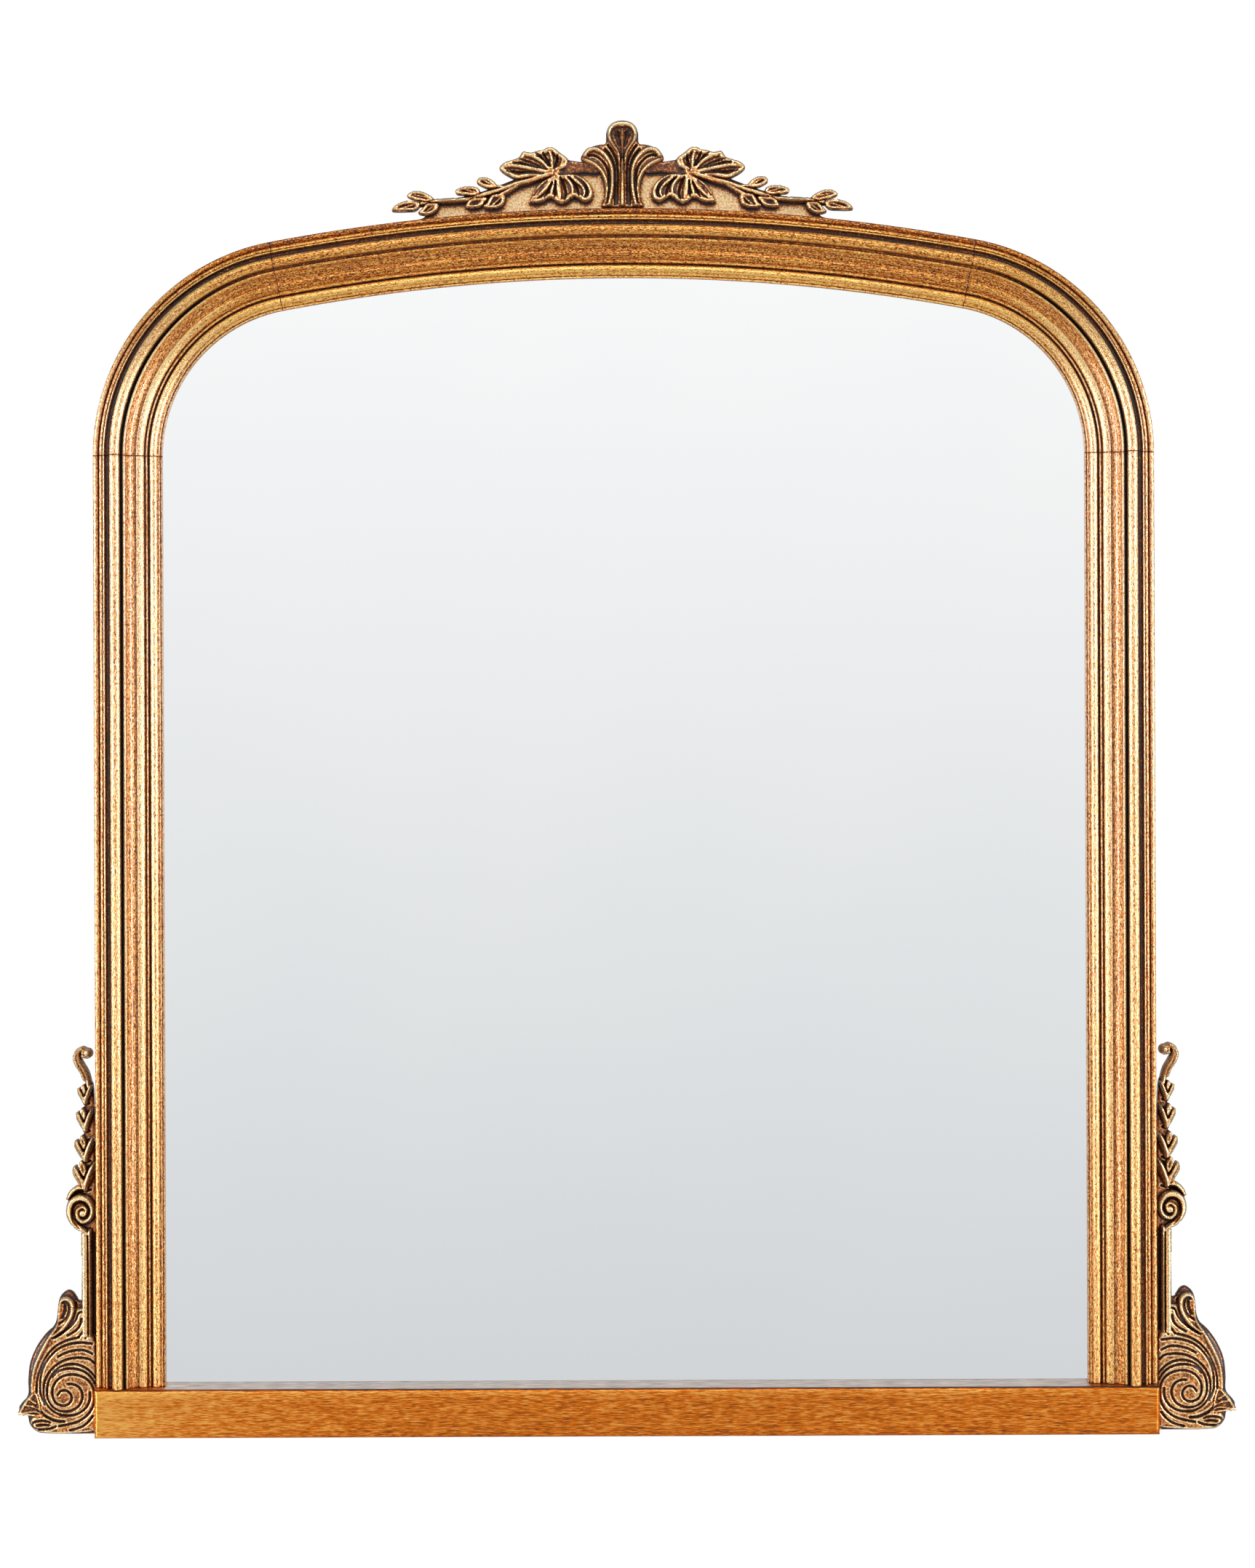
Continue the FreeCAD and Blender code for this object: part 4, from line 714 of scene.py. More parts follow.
def curve(points, closed=False, step=0.8):
    """A smooth line through points, sampled along its way. Further columns run along too."""
    points = np.array(points, float)
    count = len(points)
    pieces = []
    for index in range(count if closed else count - 1):
        around = [index - 1, index, index + 1, index + 2]
        if closed:
            around = [place % count for place in around]
        else:
            around = [min(max(place, 0), count - 1) for place in around]
        before, start, end, after = points[around]
        steps = max(2, int(np.hypot(*(end - start)[:2]) / step) + 1)
        t = np.linspace(0, 1, steps, endpoint=False)[:, None]
        pieces.append(0.5 * (2 * start + (end - before) * t
                             + (2 * before - 5 * start + 4 * end - after) * t ** 2
                             + (3 * start - before - 3 * end + after) * t ** 3))
    if not closed:
        pieces.append(points[-1:])
    return np.concatenate(pieces)


def taper(points, first, last=None):
    """Add half widths to points, from the first to the last."""
    widths = np.linspace(first, first if last is None else last, len(points))
    return [(*point, width) for point, width in zip(points, widths)]


def reach(x, y, line):
    """How far points are from a line, in shares of its half width, and that half width."""
    best = np.full_like(x, 1e9)
    half = np.ones_like(x)
    for (ax, ay, aw), (bx, by, bw) in zip(line[:-1], line[1:]):
        dx, dy = bx - ax, by - ay
        t = np.clip(((x - ax) * dx + (y - ay) * dy) / max(dx * dx + dy * dy, 1e-9), 0, 1)
        width = aw + t * (bw - aw)
        share = np.hypot(x - ax - t * dx, y - ay - t * dy) / width
        closer = share < best
        best = np.where(closer, share, best)
        half = np.where(closer, width, half)
    return best, half


def edge_distance(x, y, line):
    """Distance to a closed line, above zero inside it."""
    gap = np.full_like(x, 1e9)
    inside = np.zeros(x.shape, bool)
    for (ax, ay), (bx, by) in zip(line, np.roll(line, -1, axis=0)):
        dx, dy = bx - ax, by - ay
        t = np.clip(((x - ax) * dx + (y - ay) * dy) / max(dx * dx + dy * dy, 1e-9), 0, 1)
        gap = np.minimum(gap, np.hypot(x - ax - t * dx, y - ay - t * dy))
        if dy:
            inside ^= ((ay > y) != (by > y)) & (x < ax + (y - ay) * dx / dy)
    return np.where(inside, gap, -gap)


# %% The carver's grid
class Relief:
    """Heights over a drawing, in millimetres, and how far each point is inside the piece."""

    def __init__(self, low, high, cell=CELL):
        self.cell = cell
        self.xs = np.arange(low[0], high[0] + cell, cell)
        self.ys = np.arange(low[1], high[1] + cell, cell)
        self.x, self.y = np.meshgrid(self.xs, self.ys, indexing="ij")
        self.height = np.zeros_like(self.x)
        self.inside = np.full_like(self.x, -9.0)
        self.tint = np.zeros_like(self.x)

    def window(self, line, margin):
        """The part of the grid near a line."""
        low = line[:, :2].min(0) - margin
        high = line[:, :2].max(0) + margin
        i0, i1 = np.searchsorted(self.xs, (low[0], high[0]))
        j0, j1 = np.searchsorted(self.ys, (low[1], high[1]))
        return slice(max(i0 - 1, 0), i1 + 1), slice(max(j0 - 1, 0), j1 + 1)

    def plate(self, points, level, drop=0.8, bevel=1.5):
        """A flat ground with softened edges."""
        line = curve(points, closed=True)[:, :2]
        part = self.window(line, 2)
        edge = edge_distance(self.x[part], self.y[part], line)
        top = level - drop * (1 - np.clip(edge / bevel, 0, 1)) ** 2
        self.height[part] = np.where(edge > 0, np.maximum(self.height[part], top), self.height[part])
        self.inside[part] = np.maximum(self.inside[part], edge)

    def ridge(self, points, top, foot, power=2.2):
        """A round ridge along a centre-line that carries half widths."""
        line = curve(points)
        part = self.window(line, line[:, 2].max() + 0.5)
        share, half = reach(self.x[part], self.y[part], line)
        rise = foot + (top - foot) * (1 - np.clip(share, 0, 1) ** power)
        self.height[part] = np.where(share < 1, np.maximum(self.height[part], rise), self.height[part])
        self.inside[part] = np.maximum(self.inside[part], (1 - share) * half)

    def leaf(self, points, top, floor, rim=1.3, foot=None):
        """A closed form with a raised rim and a hollow inside it."""
        line = curve(points, closed=True)[:, :2]
        part = self.window(line, 1)
        edge = edge_distance(self.x[part], self.y[part], line)
        wall = floor - 1.0 if foot is None else foot
        level = np.interp(edge, [0, 0.35 * rim, 0.75 * rim, 1.25 * rim, 2.1 * rim, 4 * rim],
                          [wall, top - 0.9, top, top - 0.2, floor + 0.3, floor])
        self.height[part] = np.where(edge > 0, level, self.height[part])
        self.inside[part] = np.maximum(self.inside[part], edge)

    def sink(self, points, depth, power=2.0):
        """A round hollow along a centre-line."""
        line = curve(points) if len(points) > 1 else np.array([points[0], points[0]], float)
        part = self.window(line, line[:, 2].max() + 0.5)
        share, _ = reach(self.x[part], self.y[part], line)
        hollow = 1 - np.clip(share, 0, 1) ** power
        self.height[part] -= depth * hollow
        self.tint[part] -= 0.14 * depth * hollow

    def groove(self, points, depth=1.8, half=0.75, lip=0.6):
        """A narrow groove with wax in it, and a rubbed lip on each side."""
        line = curve([(x, y, 1.0) for x, y in points])
        part = self.window(line, 3.2)
        gap, _ = reach(self.x[part], self.y[part], line)
        cut = np.exp(-(gap / half) ** 2)
        rise = np.exp(-((gap - half - 0.65) / 0.45) ** 2)
        self.height[part] += lip * rise - depth * cut
        self.tint[part] += 0.16 * rise - 0.52 * cut

    def dome(self, x, y, radius, top, foot):
        """A round boss."""
        self.ridge([(x, y, radius), (x + 0.01, y, radius)], top, foot)

    def rub(self, low, high, wax, shine):
        """Leave wax on what lies below one level, and rub what stands above another."""
        share = np.clip((self.height - low) / (high - low), 0, 1)
        self.tint += shine * share - wax * (1 - share)

    def limit(self, amount):
        """Cut the piece where an amount falls below zero."""
        self.inside = np.minimum(self.inside, amount)


# %% From the grid to a piece
SOFTEN = 0.32
HOLLOW_REACH = 0.85
HOLLOW_DEPTH = 0.85
# A band of painted shade along each carving's outline: its width, and how dark it is.
OUTLINE_WIDTH = 0.6
OUTLINE_SHADE = 0.3
CARVING_CONTRAST = 1.16
# The walls are painted dark toward the back, as shade.
WALL_TONE = 0.16


def finished_levels(relief):
    """Softened heights, and how much each point stands out from what is round it."""
    solid = (relief.inside > 0).astype(float)
    weight = blurred(solid, SOFTEN / relief.cell)
    level = blurred(relief.height * solid, SOFTEN / relief.cell) / np.maximum(weight, 1e-3)
    broad_weight = blurred(solid, 1.0)
    spread = blurred(relief.height * solid, 1.0) / np.maximum(broad_weight, 1e-4)
    level = np.where(weight > 0.05, level, spread)
    lowest = relief.height[relief.inside > 0].min()
    filled = np.where(solid > 0, level, lowest)
    around = blurred(filled, HOLLOW_REACH / relief.cell)
    return level, np.clip(0.52 + 0.42 * (level - around) / HOLLOW_DEPTH, 0.05, 1)


def cut_out(relief, back):
    """Points, faces and relief values of the piece: its front, its walls and its back's rim."""
    level, tone = finished_levels(relief)
    # Painted shade: darker along the outline.
    outline = np.exp(-(np.maximum(relief.inside, 0) / OUTLINE_WIDTH) ** 2)
    tone = tone + relief.tint - OUTLINE_SHADE * outline
    tone = np.clip(0.5 + (tone - 0.5) * CARVING_CONTRAST, 0.02, 1)
    inside = relief.inside > 0
    numbers = np.full(inside.shape, -1)
    numbers[inside] = np.arange(inside.sum())
    points = list(zip(relief.x[inside], relief.y[inside], level[inside]))
    tones = list(tone[inside])
    whole = inside[:-1, :-1] & inside[1:, :-1] & inside[1:, 1:] & inside[:-1, 1:]
    i, j = np.nonzero(whole)
    faces = list(zip(numbers[i, j], numbers[i + 1, j], numbers[i + 1, j + 1], numbers[i, j + 1]))
    some = inside[:-1, :-1] | inside[1:, :-1] | inside[1:, 1:] | inside[:-1, 1:]
    crossings, rim = {}, []

    def crossing(a, b):
        """The point on a grid edge where the piece ends."""
        key = (min(a, b), max(a, b))
        if key not in crossings:
            sa, sb = relief.inside[key[0]], relief.inside[key[1]]
            t = min(max(sa / (sa - sb), 0.04), 0.96)
            mix = [source[key[0]] * (1 - t) + source[key[1]] * t
                   for source in (relief.x, relief.y, level, tone)]
            crossings[key] = len(points)
            points.append(tuple(mix[:3]))
            tones.append(mix[3])
        return crossings[key]

    for i, j in zip(*np.nonzero(some & ~whole)):
        corners = [(i, j), (i + 1, j), (i + 1, j + 1), (i, j + 1)]
        ring, leaving = [], []
        for index, corner in enumerate(corners):
            after = corners[(index + 1) % 4]
            if inside[corner]:
                ring.append(numbers[corner])
            if inside[corner] != inside[after]:
                place = crossing(corner, after)
                ring.append(place)
                leaving.append((inside[corner], place))
        if len(ring) > 2:
            faces.append(tuple(ring))
        for number, (leaves, place) in enumerate(leaving):
            if leaves:
                rim.append((place, leaving[(number + 1) % len(leaving)][1]))
    low_of = {}
    for first, last in rim:
        for place in (first, last):
            if place not in low_of:
                low_of[place] = len(points)
                points.append((points[place][0], points[place][1], back))
                tones.append(WALL_TONE)
        faces.append((last, first, low_of[first], low_of[last]))
    return points, faces, tones


def close_back(mesh):
    """Fill the flat back between the walls' lower edges."""
    build = bmesh.new()
    build.from_mesh(mesh)
    open_edges = [edge for edge in build.edges if edge.is_boundary]
    filled = bmesh.ops.holes_fill(build, edges=open_edges, sides=0)
    bmesh.ops.triangulate(build, faces=filled["faces"], ngon_method="EAR_CLIP")
    bmesh.ops.recalc_face_normals(build, faces=build.faces)
    build.to_mesh(mesh)
    build.free()


def carved_piece(name, relief, origin, back, node, side=1):
    """A carving from its grid. The origin is where the drawing's zero point is, in X and Z."""
    points, faces, tones = cut_out(relief, back)
    verts = [to_world(origin[0] + side * x, level, origin[1] + y) for x, y, level in points]
    piece = new_piece(name, verts, [tuple(int(n) for n in face) for face in faces], [node],
                      {"relief": tones}, None, (carving_gilt, bare_wood))
    close_back(piece.data)
    back_y = BACK_Y - back * MM
    for face in piece.data.polygons:
        if abs(face.center.y - back_y) < 1e-5:
            face.material_index = 1
    return piece


# %% [markdown]
# The side scrolls
#
# Each foot of the frame has a carved scroll. Its body is a plate with a ridge along its outer
# edge. Grooves are cut into it: they wind out from an eye and run on up a tall frond with three
# curling lobes. X is measured from the frame's edge and Y from the foot. A third number in a
# point is a half width, here and in the drawings below.

# %% Scroll
SCROLL_X = FRAME_HALF + 0.2
SCROLL_GROUND = 6.0
SCROLL_BODY = 10.8
SCROLL_TOP = 13.0
LEDGE_HEIGHT = 72.5     # the husk drop stands on a ledge beside the frond
LEDGE_WIDTH = 9.8

scroll = Relief((-2, -1), (62, 108), cell=0.5)
scroll.plate([(-4, 0.2), (38, 0.2), (47, 2.6), (51, 7.6), (52.5, 13.5), (57.5, 14.5), (59.2, 18.5),
              (56.5, 23), (52.0, 29), (51.8, 41), (50.3, 53), (45.5, 64.5), (38.8, 74), (33, 79.5),
              (30.6, 85), (29.8, 92), (29.0, 98), (26.8, 103), (22.5, 106), (18.6, 104.6), (15.6, 100.4),
              (13, 98.2), (-4, 98.2)], SCROLL_GROUND, drop=2.6, bevel=2.6)
scroll.plate([(1, 8), (8, 3.5), (30, 1.6), (46, 3.6), (49.6, 9), (47.5, 16), (49.2, 30), (48.8, 42),
              (46.6, 52), (42, 63), (35.5, 73), (30, 81), (28.6, 92), (27, 99.5), (22.5, 102.2),
              (18.2, 99.5), (15.4, 93.5), (11, 93.5), (6.4, 91), (4.4, 84), (5, 76), (2, 70), (1, 60)],
             SCROLL_BODY, drop=2.2, bevel=2.0)
scroll.ridge([(28.6, 82, 0.8), (30.6, 78, 1.0), (34.8, 72.2, 1.3), (38.9, 65, 1.5), (43.4, 56, 1.5),
              (46.3, 48, 1.4), (47.6, 38.4, 1.4), (47.2, 29.5, 1.4), (43.6, 22.6, 1.3), (37, 16.4, 1.2),
              (29.6, 12.8, 1.1), (22, 12, 1.0)], SCROLL_TOP + 0.4, 9.6)
scroll.ridge([(32.6, 73, 0.9), (25.8, 78.4, 1.1), (20, 85.8, 1.2), (18.0, 92, 1.3), (18.6, 97.2, 1.4),
              (21.4, 100.2, 1.5), (25, 100, 1.4), (27.1, 96.6, 1.2), (27.6, 90.6, 1.1), (28.2, 84, 0.9)],
             SCROLL_TOP, 10.4)
scroll.sink([(23.4, 96.4, 1.3), (23.4, 91.5, 1.9), (25.4, 86.5, 1.3)], 2.2)
scroll.ridge([(5, 3.2, 1.0), (16, 2.4, 1.2), (30, 1.9, 1.2), (44, 3.0, 1.0)], 11.0, 8.0)
# The main grooves, from the eye of the spiral outwards, then the three lobes and the foot
for line in (
        [(29.2, 29.5), (26.5, 32.6), (22.6, 32.8), (19.4, 30), (18.8, 26), (21.4, 22.6), (26, 21.8),
         (30.6, 24), (32.8, 28.8), (32.8, 34.4), (30.2, 39.6), (25.6, 43.2), (19.2, 44.8), (12.8, 43.8),
         (7.2, 41), (3.2, 35.8), (1.8, 29.5), (2.2, 23.5), (4.4, 18.4), (8.2, 13.8), (13.6, 10.2),
         (20, 8.2), (28, 6.6)],
        [(21.8, 37.6), (18.2, 37.6), (14, 35.9), (11.2, 31.8), (11, 26.4), (13.4, 21.6), (17.6, 18.6),
         (23, 17.4), (28.8, 18.2), (33.6, 21.6), (36.4, 26.6), (37, 32.6), (35.6, 40), (32, 46),
         (26.6, 50.4), (20, 52.4), (13.4, 51.8), (7.4, 49), (3.2, 45), (1.2, 42)],
        [(32.8, 43), (30, 46), (25.8, 48.4), (20, 49.2), (13.6, 48.4), (8, 46), (4, 42.4), (1.6, 38)],
        [(1.8, 53), (5.5, 56), (11.2, 57), (17.6, 56.8), (24, 55.2), (30.2, 51.6), (35.4, 46.2),
         (38.6, 39.6), (39.6, 32.4), (38.4, 25.6), (34.6, 19.6), (28.4, 15.6), (21.4, 14.4), (14.6, 15.6),
         (9, 19.2), (5.6, 25), (5.2, 31.6)],
        [(3.2, 59.9), (8.8, 62.4), (15.2, 62.6), (22.4, 61), (28.8, 57.8)],
        [(3.2, 67.4), (11.2, 68.2), (19.2, 67.4), (27.2, 64.4), (33, 59.8), (37.8, 53.4), (41, 45.6),
         (42.2, 37.6), (41.4, 29.5), (38.6, 22.6)],
        [(13.6, 72), (19.2, 70.8), (25, 68.8), (31.2, 65), (36.6, 59), (41, 50.6), (44, 41), (44.6, 31.4)],
        [(13.2, 72.4), (9.6, 77.8), (7.6, 83.4), (8, 88.2), (10.8, 91), (13.8, 89.4), (15.6, 85),
         (19.2, 80.4), (24.8, 75.8), (30.4, 72.4)],
        [(11.4, 85.8), (12.4, 81), (16, 76.8), (21.6, 73.6)],
        [(8.4, 71.6), (5.6, 77.8), (4.6, 84)],
        [(16.2, 97), (15.9, 90.8), (18.2, 84.2), (23.2, 77.8), (28.8, 73.8), (32.6, 71.6)],
        [(28, 82), (23.2, 85.8), (20.9, 90.7), (20.8, 95.5), (22.8, 98.2), (25.2, 97.6)],
        [(34.5, 9.2), (38, 10.4), (43.5, 10.4), (47.2, 9.2), (48.2, 7), (46, 5), (41, 4.2), (35, 4.8),
         (30.5, 6.4)],
        [(35.4, 7.4), (40, 7.6), (44.6, 7.2)],
        [(3, 14), (7, 9.2), (12.4, 5.6), (20, 3.6)],
        [(24, 10.2), (30, 10.4), (36, 12.8), (42, 17), (46, 21.6)]):
    scroll.groove(line)
scroll.leaf([(44, 30.4), (47.5, 31), (53, 25.4), (56.4, 20), (58.4, 16.6), (58.8, 14.9), (52, 14.2),
             (44, 13.2), (40, 14)], 11.6, 9.2, rim=1.1)
for line, half in (([(40, 15.2), (46, 17.4), (57, 16)], 1.1), ([(42, 18.6), (47, 21), (53, 22)], 1.1),
                   ([(45.5, 23.4), (48.4, 25.4), (50.6, 26.4)], 1.0)):
    scroll.ridge(taper(line, half, 0.7), 12, 9)
scroll.rub(7.4, 9.6, 0.24, 0.0)
# It ends at the frame, inside the solids' box, at the ledge, and a little above the foot
scroll.limit(scroll.x)
scroll.limit(cad_high[0] / MM - 0.1 - SCROLL_X - scroll.x)
scroll.limit(np.where(scroll.x < LEDGE_WIDTH,
                      np.maximum(LEDGE_HEIGHT - scroll.y, scroll.x - LEDGE_WIDTH), np.inf))
scroll.limit(scroll.y - 0.2)
for side, word in SIDES:
    carved_piece(word + "_scroll_carving", scroll, (side * SCROLL_X, FOOT_Z), 0.0,
                 word + "_scroll", side)

# %% [markdown]
# The husk drops
#
# A thin stem stands on each scroll. It curls once, and four husks grow out of each other above
# the curl, up to a crook at the top. Each husk is a bud between two pointed leaves, and the
# outer leaf bends away from the frame. Y is measured from the ledge of the scroll.

# %% Husk drop
HUSK_FLOOR = 5.5
HUSK_TOP = 12.0
HUSK_X = 7.6
HUSK_CUP_HEIGHT = 18.8
# Each husk's foot, its height, and how far it spreads beside the lowest one
HUSKS = ((110.5, 18.8, 1.0), (131.5, 16.6, 0.86), (153.5, 15.2, 0.72), (173.5, 12.2, 0.62))
INNER_LEAF = [(8.4, -2), (4.4, 3), (2.0, 9.5), (0.8, 18.6), (4.4, 16.0), (7.4, 10.5), (9.8, 5)]
OUTER_LEAF = [(7.6, -2), (9.4, 5.5), (12.6, 10.5), (15.6, 15.6), (17.4, 14.4), (17.9, 10), (15.4, 5),
              (12, 0)]
INNER_RIB = [(1.8, 17.0, 0.9), (4.2, 12.8, 1.7), (6.4, 7.2, 1.9), (8.2, 1.8, 1.9), (8.6, -2.0, 1.5)]
OUTER_RIB = [(16.0, 14.0, 1.2), (13.4, 9.2, 1.7), (11.0, 5.2, 1.7), (9.8, 1.0, 1.5)]
BUD = [(8.9, 7), (7.4, 11.5), (8.6, 16.6), (11.2, 19.6), (12.8, 16.4), (12.0, 11.2)]
CUP_LINE = [(5.6, 15.4), (8.2, 9.4), (10, 6.6), (12.2, 10.6), (14.4, 14.4)]
FOOT_LINE = [(4.6, -2.2), (7.6, -3.2), (11, -2.2)]

husk = Relief((-2, -1), (24, 220), cell=0.5)
husk.plate([(0.6, 0), (11.4, 0), (11.4, 70), (12.5, 77), (18.5, 82), (21.8, 90), (21.8, 98), (21.4, 103),
            (17.6, 108), (12.5, 110.6), (10.4, 113), (12.6, 122), (9.6, 130),
            (11.5, 142), (9.6, 152), (10.6, 162), (9.2, 172), (9.2, 182), (8.5, 187), (3.5, 187),
            (2.2, 170), (1.6, 150), (1.4, 130), (1.0, 112), (0.6, 98), (0.6, 80)], HUSK_FLOOR, drop=2.0,
           bevel=2.0)
husk.ridge(taper([(5.0, -2), (5.0, 40), (5.2, 78)], 1.5), HUSK_TOP + 0.4, 6.5)
husk.ridge(taper([(8.8, -2), (8.8, 40), (8.8, 76)], 2.5), 11.8, 8.0, power=4)
husk.groove([(6.5, -2), (6.5, 40), (6.5, 74)], depth=1.2, half=0.4, lip=0.0)
# A shallow groove by the frame, darkened: painted shadow of the gap between the stem and the frame.
husk.groove([(1.6, -2), (1.6, 40), (1.6, 76)], depth=0.6, half=0.9, lip=0.0)
husk.dome(11.4, 92, 10.2, 9.4, 5.6)
husk.ridge([(6.7, 76, 1.7), (10, 78.6, 2.0), (15.4, 82, 2.1), (19.6, 88, 2.2), (20.4, 94, 2.2),
            (18.4, 99.4, 2.4), (13.4, 102.4, 2.6), (7.6, 101.4, 2.5), (4.0, 97, 2.2), (3.2, 91.6, 1.9),
            (5.4, 86.8, 1.8), (10.2, 84.8, 1.8), (14.0, 88, 1.7), (14.2, 93, 1.5), (10.6, 95.8, 1.4),
            (7.6, 93.8, 1.3), (8.4, 91, 1.2)], HUSK_TOP + 0.6, 8.0)
husk.dome(10.4, 90.8, 3.4, 12.2, 9)
husk.groove([(12.6, 80), (17.6, 86), (18, 93.4), (15.6, 98), (10.4, 99), (6.8, 96), (6, 91.4), (8.2, 88),
             (11.4, 88)], lip=0.3)
husk.ridge([(10.4, 109.4, 1.3), (15, 109.4, 1.7), (19, 106, 1.7), (21.4, 101.8, 1.1)], 11.4, 7.0)
husk.groove([(10.6, 107.2), (14.6, 106.8), (18, 104)], lip=0.2)
for foot, height, spread in HUSKS:
    def moved(drawing):
        """A drawing of the lowest husk, moved to this husk."""
        return [(HUSK_X + (x - HUSK_X) * spread, foot + y * height / HUSK_CUP_HEIGHT, *half)
                for x, y, *half in drawing]

    husk.leaf(moved(BUD), 11.6, 9.6, rim=0.9, foot=8.4)
    for outline in (OUTER_LEAF, INNER_LEAF):
        husk.plate(moved(outline), 9.8, drop=2.4, bevel=1.8)
    for rib in (OUTER_RIB, INNER_RIB):
        husk.ridge(moved(rib), HUSK_TOP + 0.6, 9.0)
    husk.groove(moved(CUP_LINE), half=0.55, lip=0.2)
    husk.groove(moved(FOOT_LINE), half=0.6, lip=0.4)
husk.ridge([(5.6, 183, 1.9), (6.6, 189, 2.2), (8.8, 195, 2.6), (11.9, 200, 2.8), (14.2, 205, 2.7),
            (13.6, 209.6, 2.5), (10.6, 211.8, 2.3), (7.4, 210.4, 2.0)], 10.6, 5.6)
husk.ridge(taper([(8.6, 190), (11.0, 195.6), (14.2, 200.6), (15.8, 206), (13.8, 211), (10.4, 213)], 1.2),
           HUSK_TOP + 0.6, 9.0)
husk.dome(7.2, 209, 3.9, HUSK_TOP, 6.4)
husk.ridge([(9.6, 210.4, 1.1), (9.8, 207.4, 1.1), (8.2, 206.4, 0.9)], HUSK_TOP + 0.8, 9.0)
husk.groove([(11.6, 209), (11.4, 205.4), (8.8, 203.6)], lip=0.2)
husk.rub(9.4, 11.0, 0.04, 0.20)
husk.tint -= 0.04 * ((husk.x > 7) & (husk.y < 77))
husk.limit(husk.x)
husk.limit(husk.y)
for side, word in SIDES:
    carved_piece(word + "_husk_carving", husk, (side * SCROLL_X, FOOT_Z + LEDGE_HEIGHT), 0.0,
                 word + "_husk_drop", side)

# %% [markdown]
# The crest
#
# The crest is four pieces, as on the real frame: a stippled ground board that follows the arch,
# a palmette in the middle, and a leafy spray on each side. X is measured from the middle and Y
# from the top of the arch. Leaves are closed outlines with a raised rim, and ribs run into them.

# %% Palmette
CREST_BOARD = 7.0
CREST_FLOOR = 10.5
LEAF_FLOOR = 11.8
LEAF_TOP = 15.5
PALMETTE_TOP = 17.5

palmette_half = [(13.6, 1), (12.8, 9), (13.2, 18), (16.2, 26.4), (22, 32.4), (28, 34.6), (30.6, 36.4),
                 (29.6, 40), (26.4, 43.4), (22, 46), (17.6, 47.2), (12.6, 48), (11.9, 52), (11.7, 56),
                 (9.6, 61), (5.4, 64.2), (0, 65.2)]


def mirrored(half):
    """A closed outline from its right half, which ends on the middle line."""
    return half + [(-x, y) for x, y in reversed(half[:-1])]


palmette = Relief((-33, -2), (33, 68), cell=0.5)
palmette.plate(mirrored(palmette_half), 13.0, drop=2.6, bevel=1.8)
palmette.ridge([(0, 3, 1.7), (0, 20, 1.3), (0, 36, 0.9)], PALMETTE_TOP, 13.0)
palmette.ridge([(0, 58.6, 0.8), (0, 50, 0.6), (0, 38, 0.6)], 15.4, 13.0)
for way in (1, -1):
    for rows, top in (
            ([(1.9, 33, 0.7), (3.0, 40.5, 0.9), (5.8, 45.6, 1.0), (8.7, 50.2, 1.2), (9.6, 55, 1.5),
              (8.2, 59.2, 1.9), (4.6, 61.6, 2.2), (0, 62.2, 2.3)], PALMETTE_TOP),
            ([(9.8, 3, 1.5), (7.8, 13, 1.4), (7.3, 22, 1.3), (8.0, 30, 1.3), (11, 36.8, 1.5),
              (15.6, 41.6, 1.8), (20.4, 43.6, 1.9), (25, 42.4, 1.8), (27.8, 39, 1.5)], PALMETTE_TOP),
            ([(12.2, 5, 0.9), (11.4, 14, 1.1), (12.4, 22, 1.2), (16, 28.6, 1.3), (21.4, 33.2, 1.4),
              (27.2, 35.8, 1.3)], 16.4)):
        palmette.ridge([(way * x, y, half) for x, y, half in rows], top, 13.0)
    for line in ([(3.9, 3.5), (3.7, 14), (3.5, 26), (4.4, 35), (6.8, 41.4), (10.6, 46.8)],
                 [(9.9, 16), (9.8, 24), (11.8, 31), (16, 36.4), (21, 39.2), (25, 39)],
                 [(5.4, 3.2), (5.5, 14), (5.2, 24), (5.9, 32), (9, 39), (12.8, 43.8)]):
        palmette.groove([(way * x, y) for x, y in line])
    palmette.sink([(way * 4.3, 55.4, 3.0), (way * 4.2, 55.2, 3.0)], 1.9)
    palmette.sink([(way * 3.6, 52.6, 2.2), (way * 2.0, 46.5, 1.2)], 1.4)
palmette.rub(13.2, 16.2, 0.08, 0.08)
carved_piece("crest_palmette_carving", palmette, (0.0, APEX_Z), CREST_BOARD, "crest_palmette")

# %% Leafy sprays
spray = Relief((14, -8), (174, 50), cell=0.55)
spray.plate([(17, 27), (30, 27), (45, 24), (60, 21), (80, 15), (100, 8.5), (120, 4.5), (135, 4),
             (150, 2), (150, 5), (135, 8), (120, 9), (100, 14.5), (80, 22), (60, 29), (45, 37),
             (38, 36), (30, 35), (24, 36), (17, 36)], CREST_FLOOR, drop=1.0, bevel=1.5)
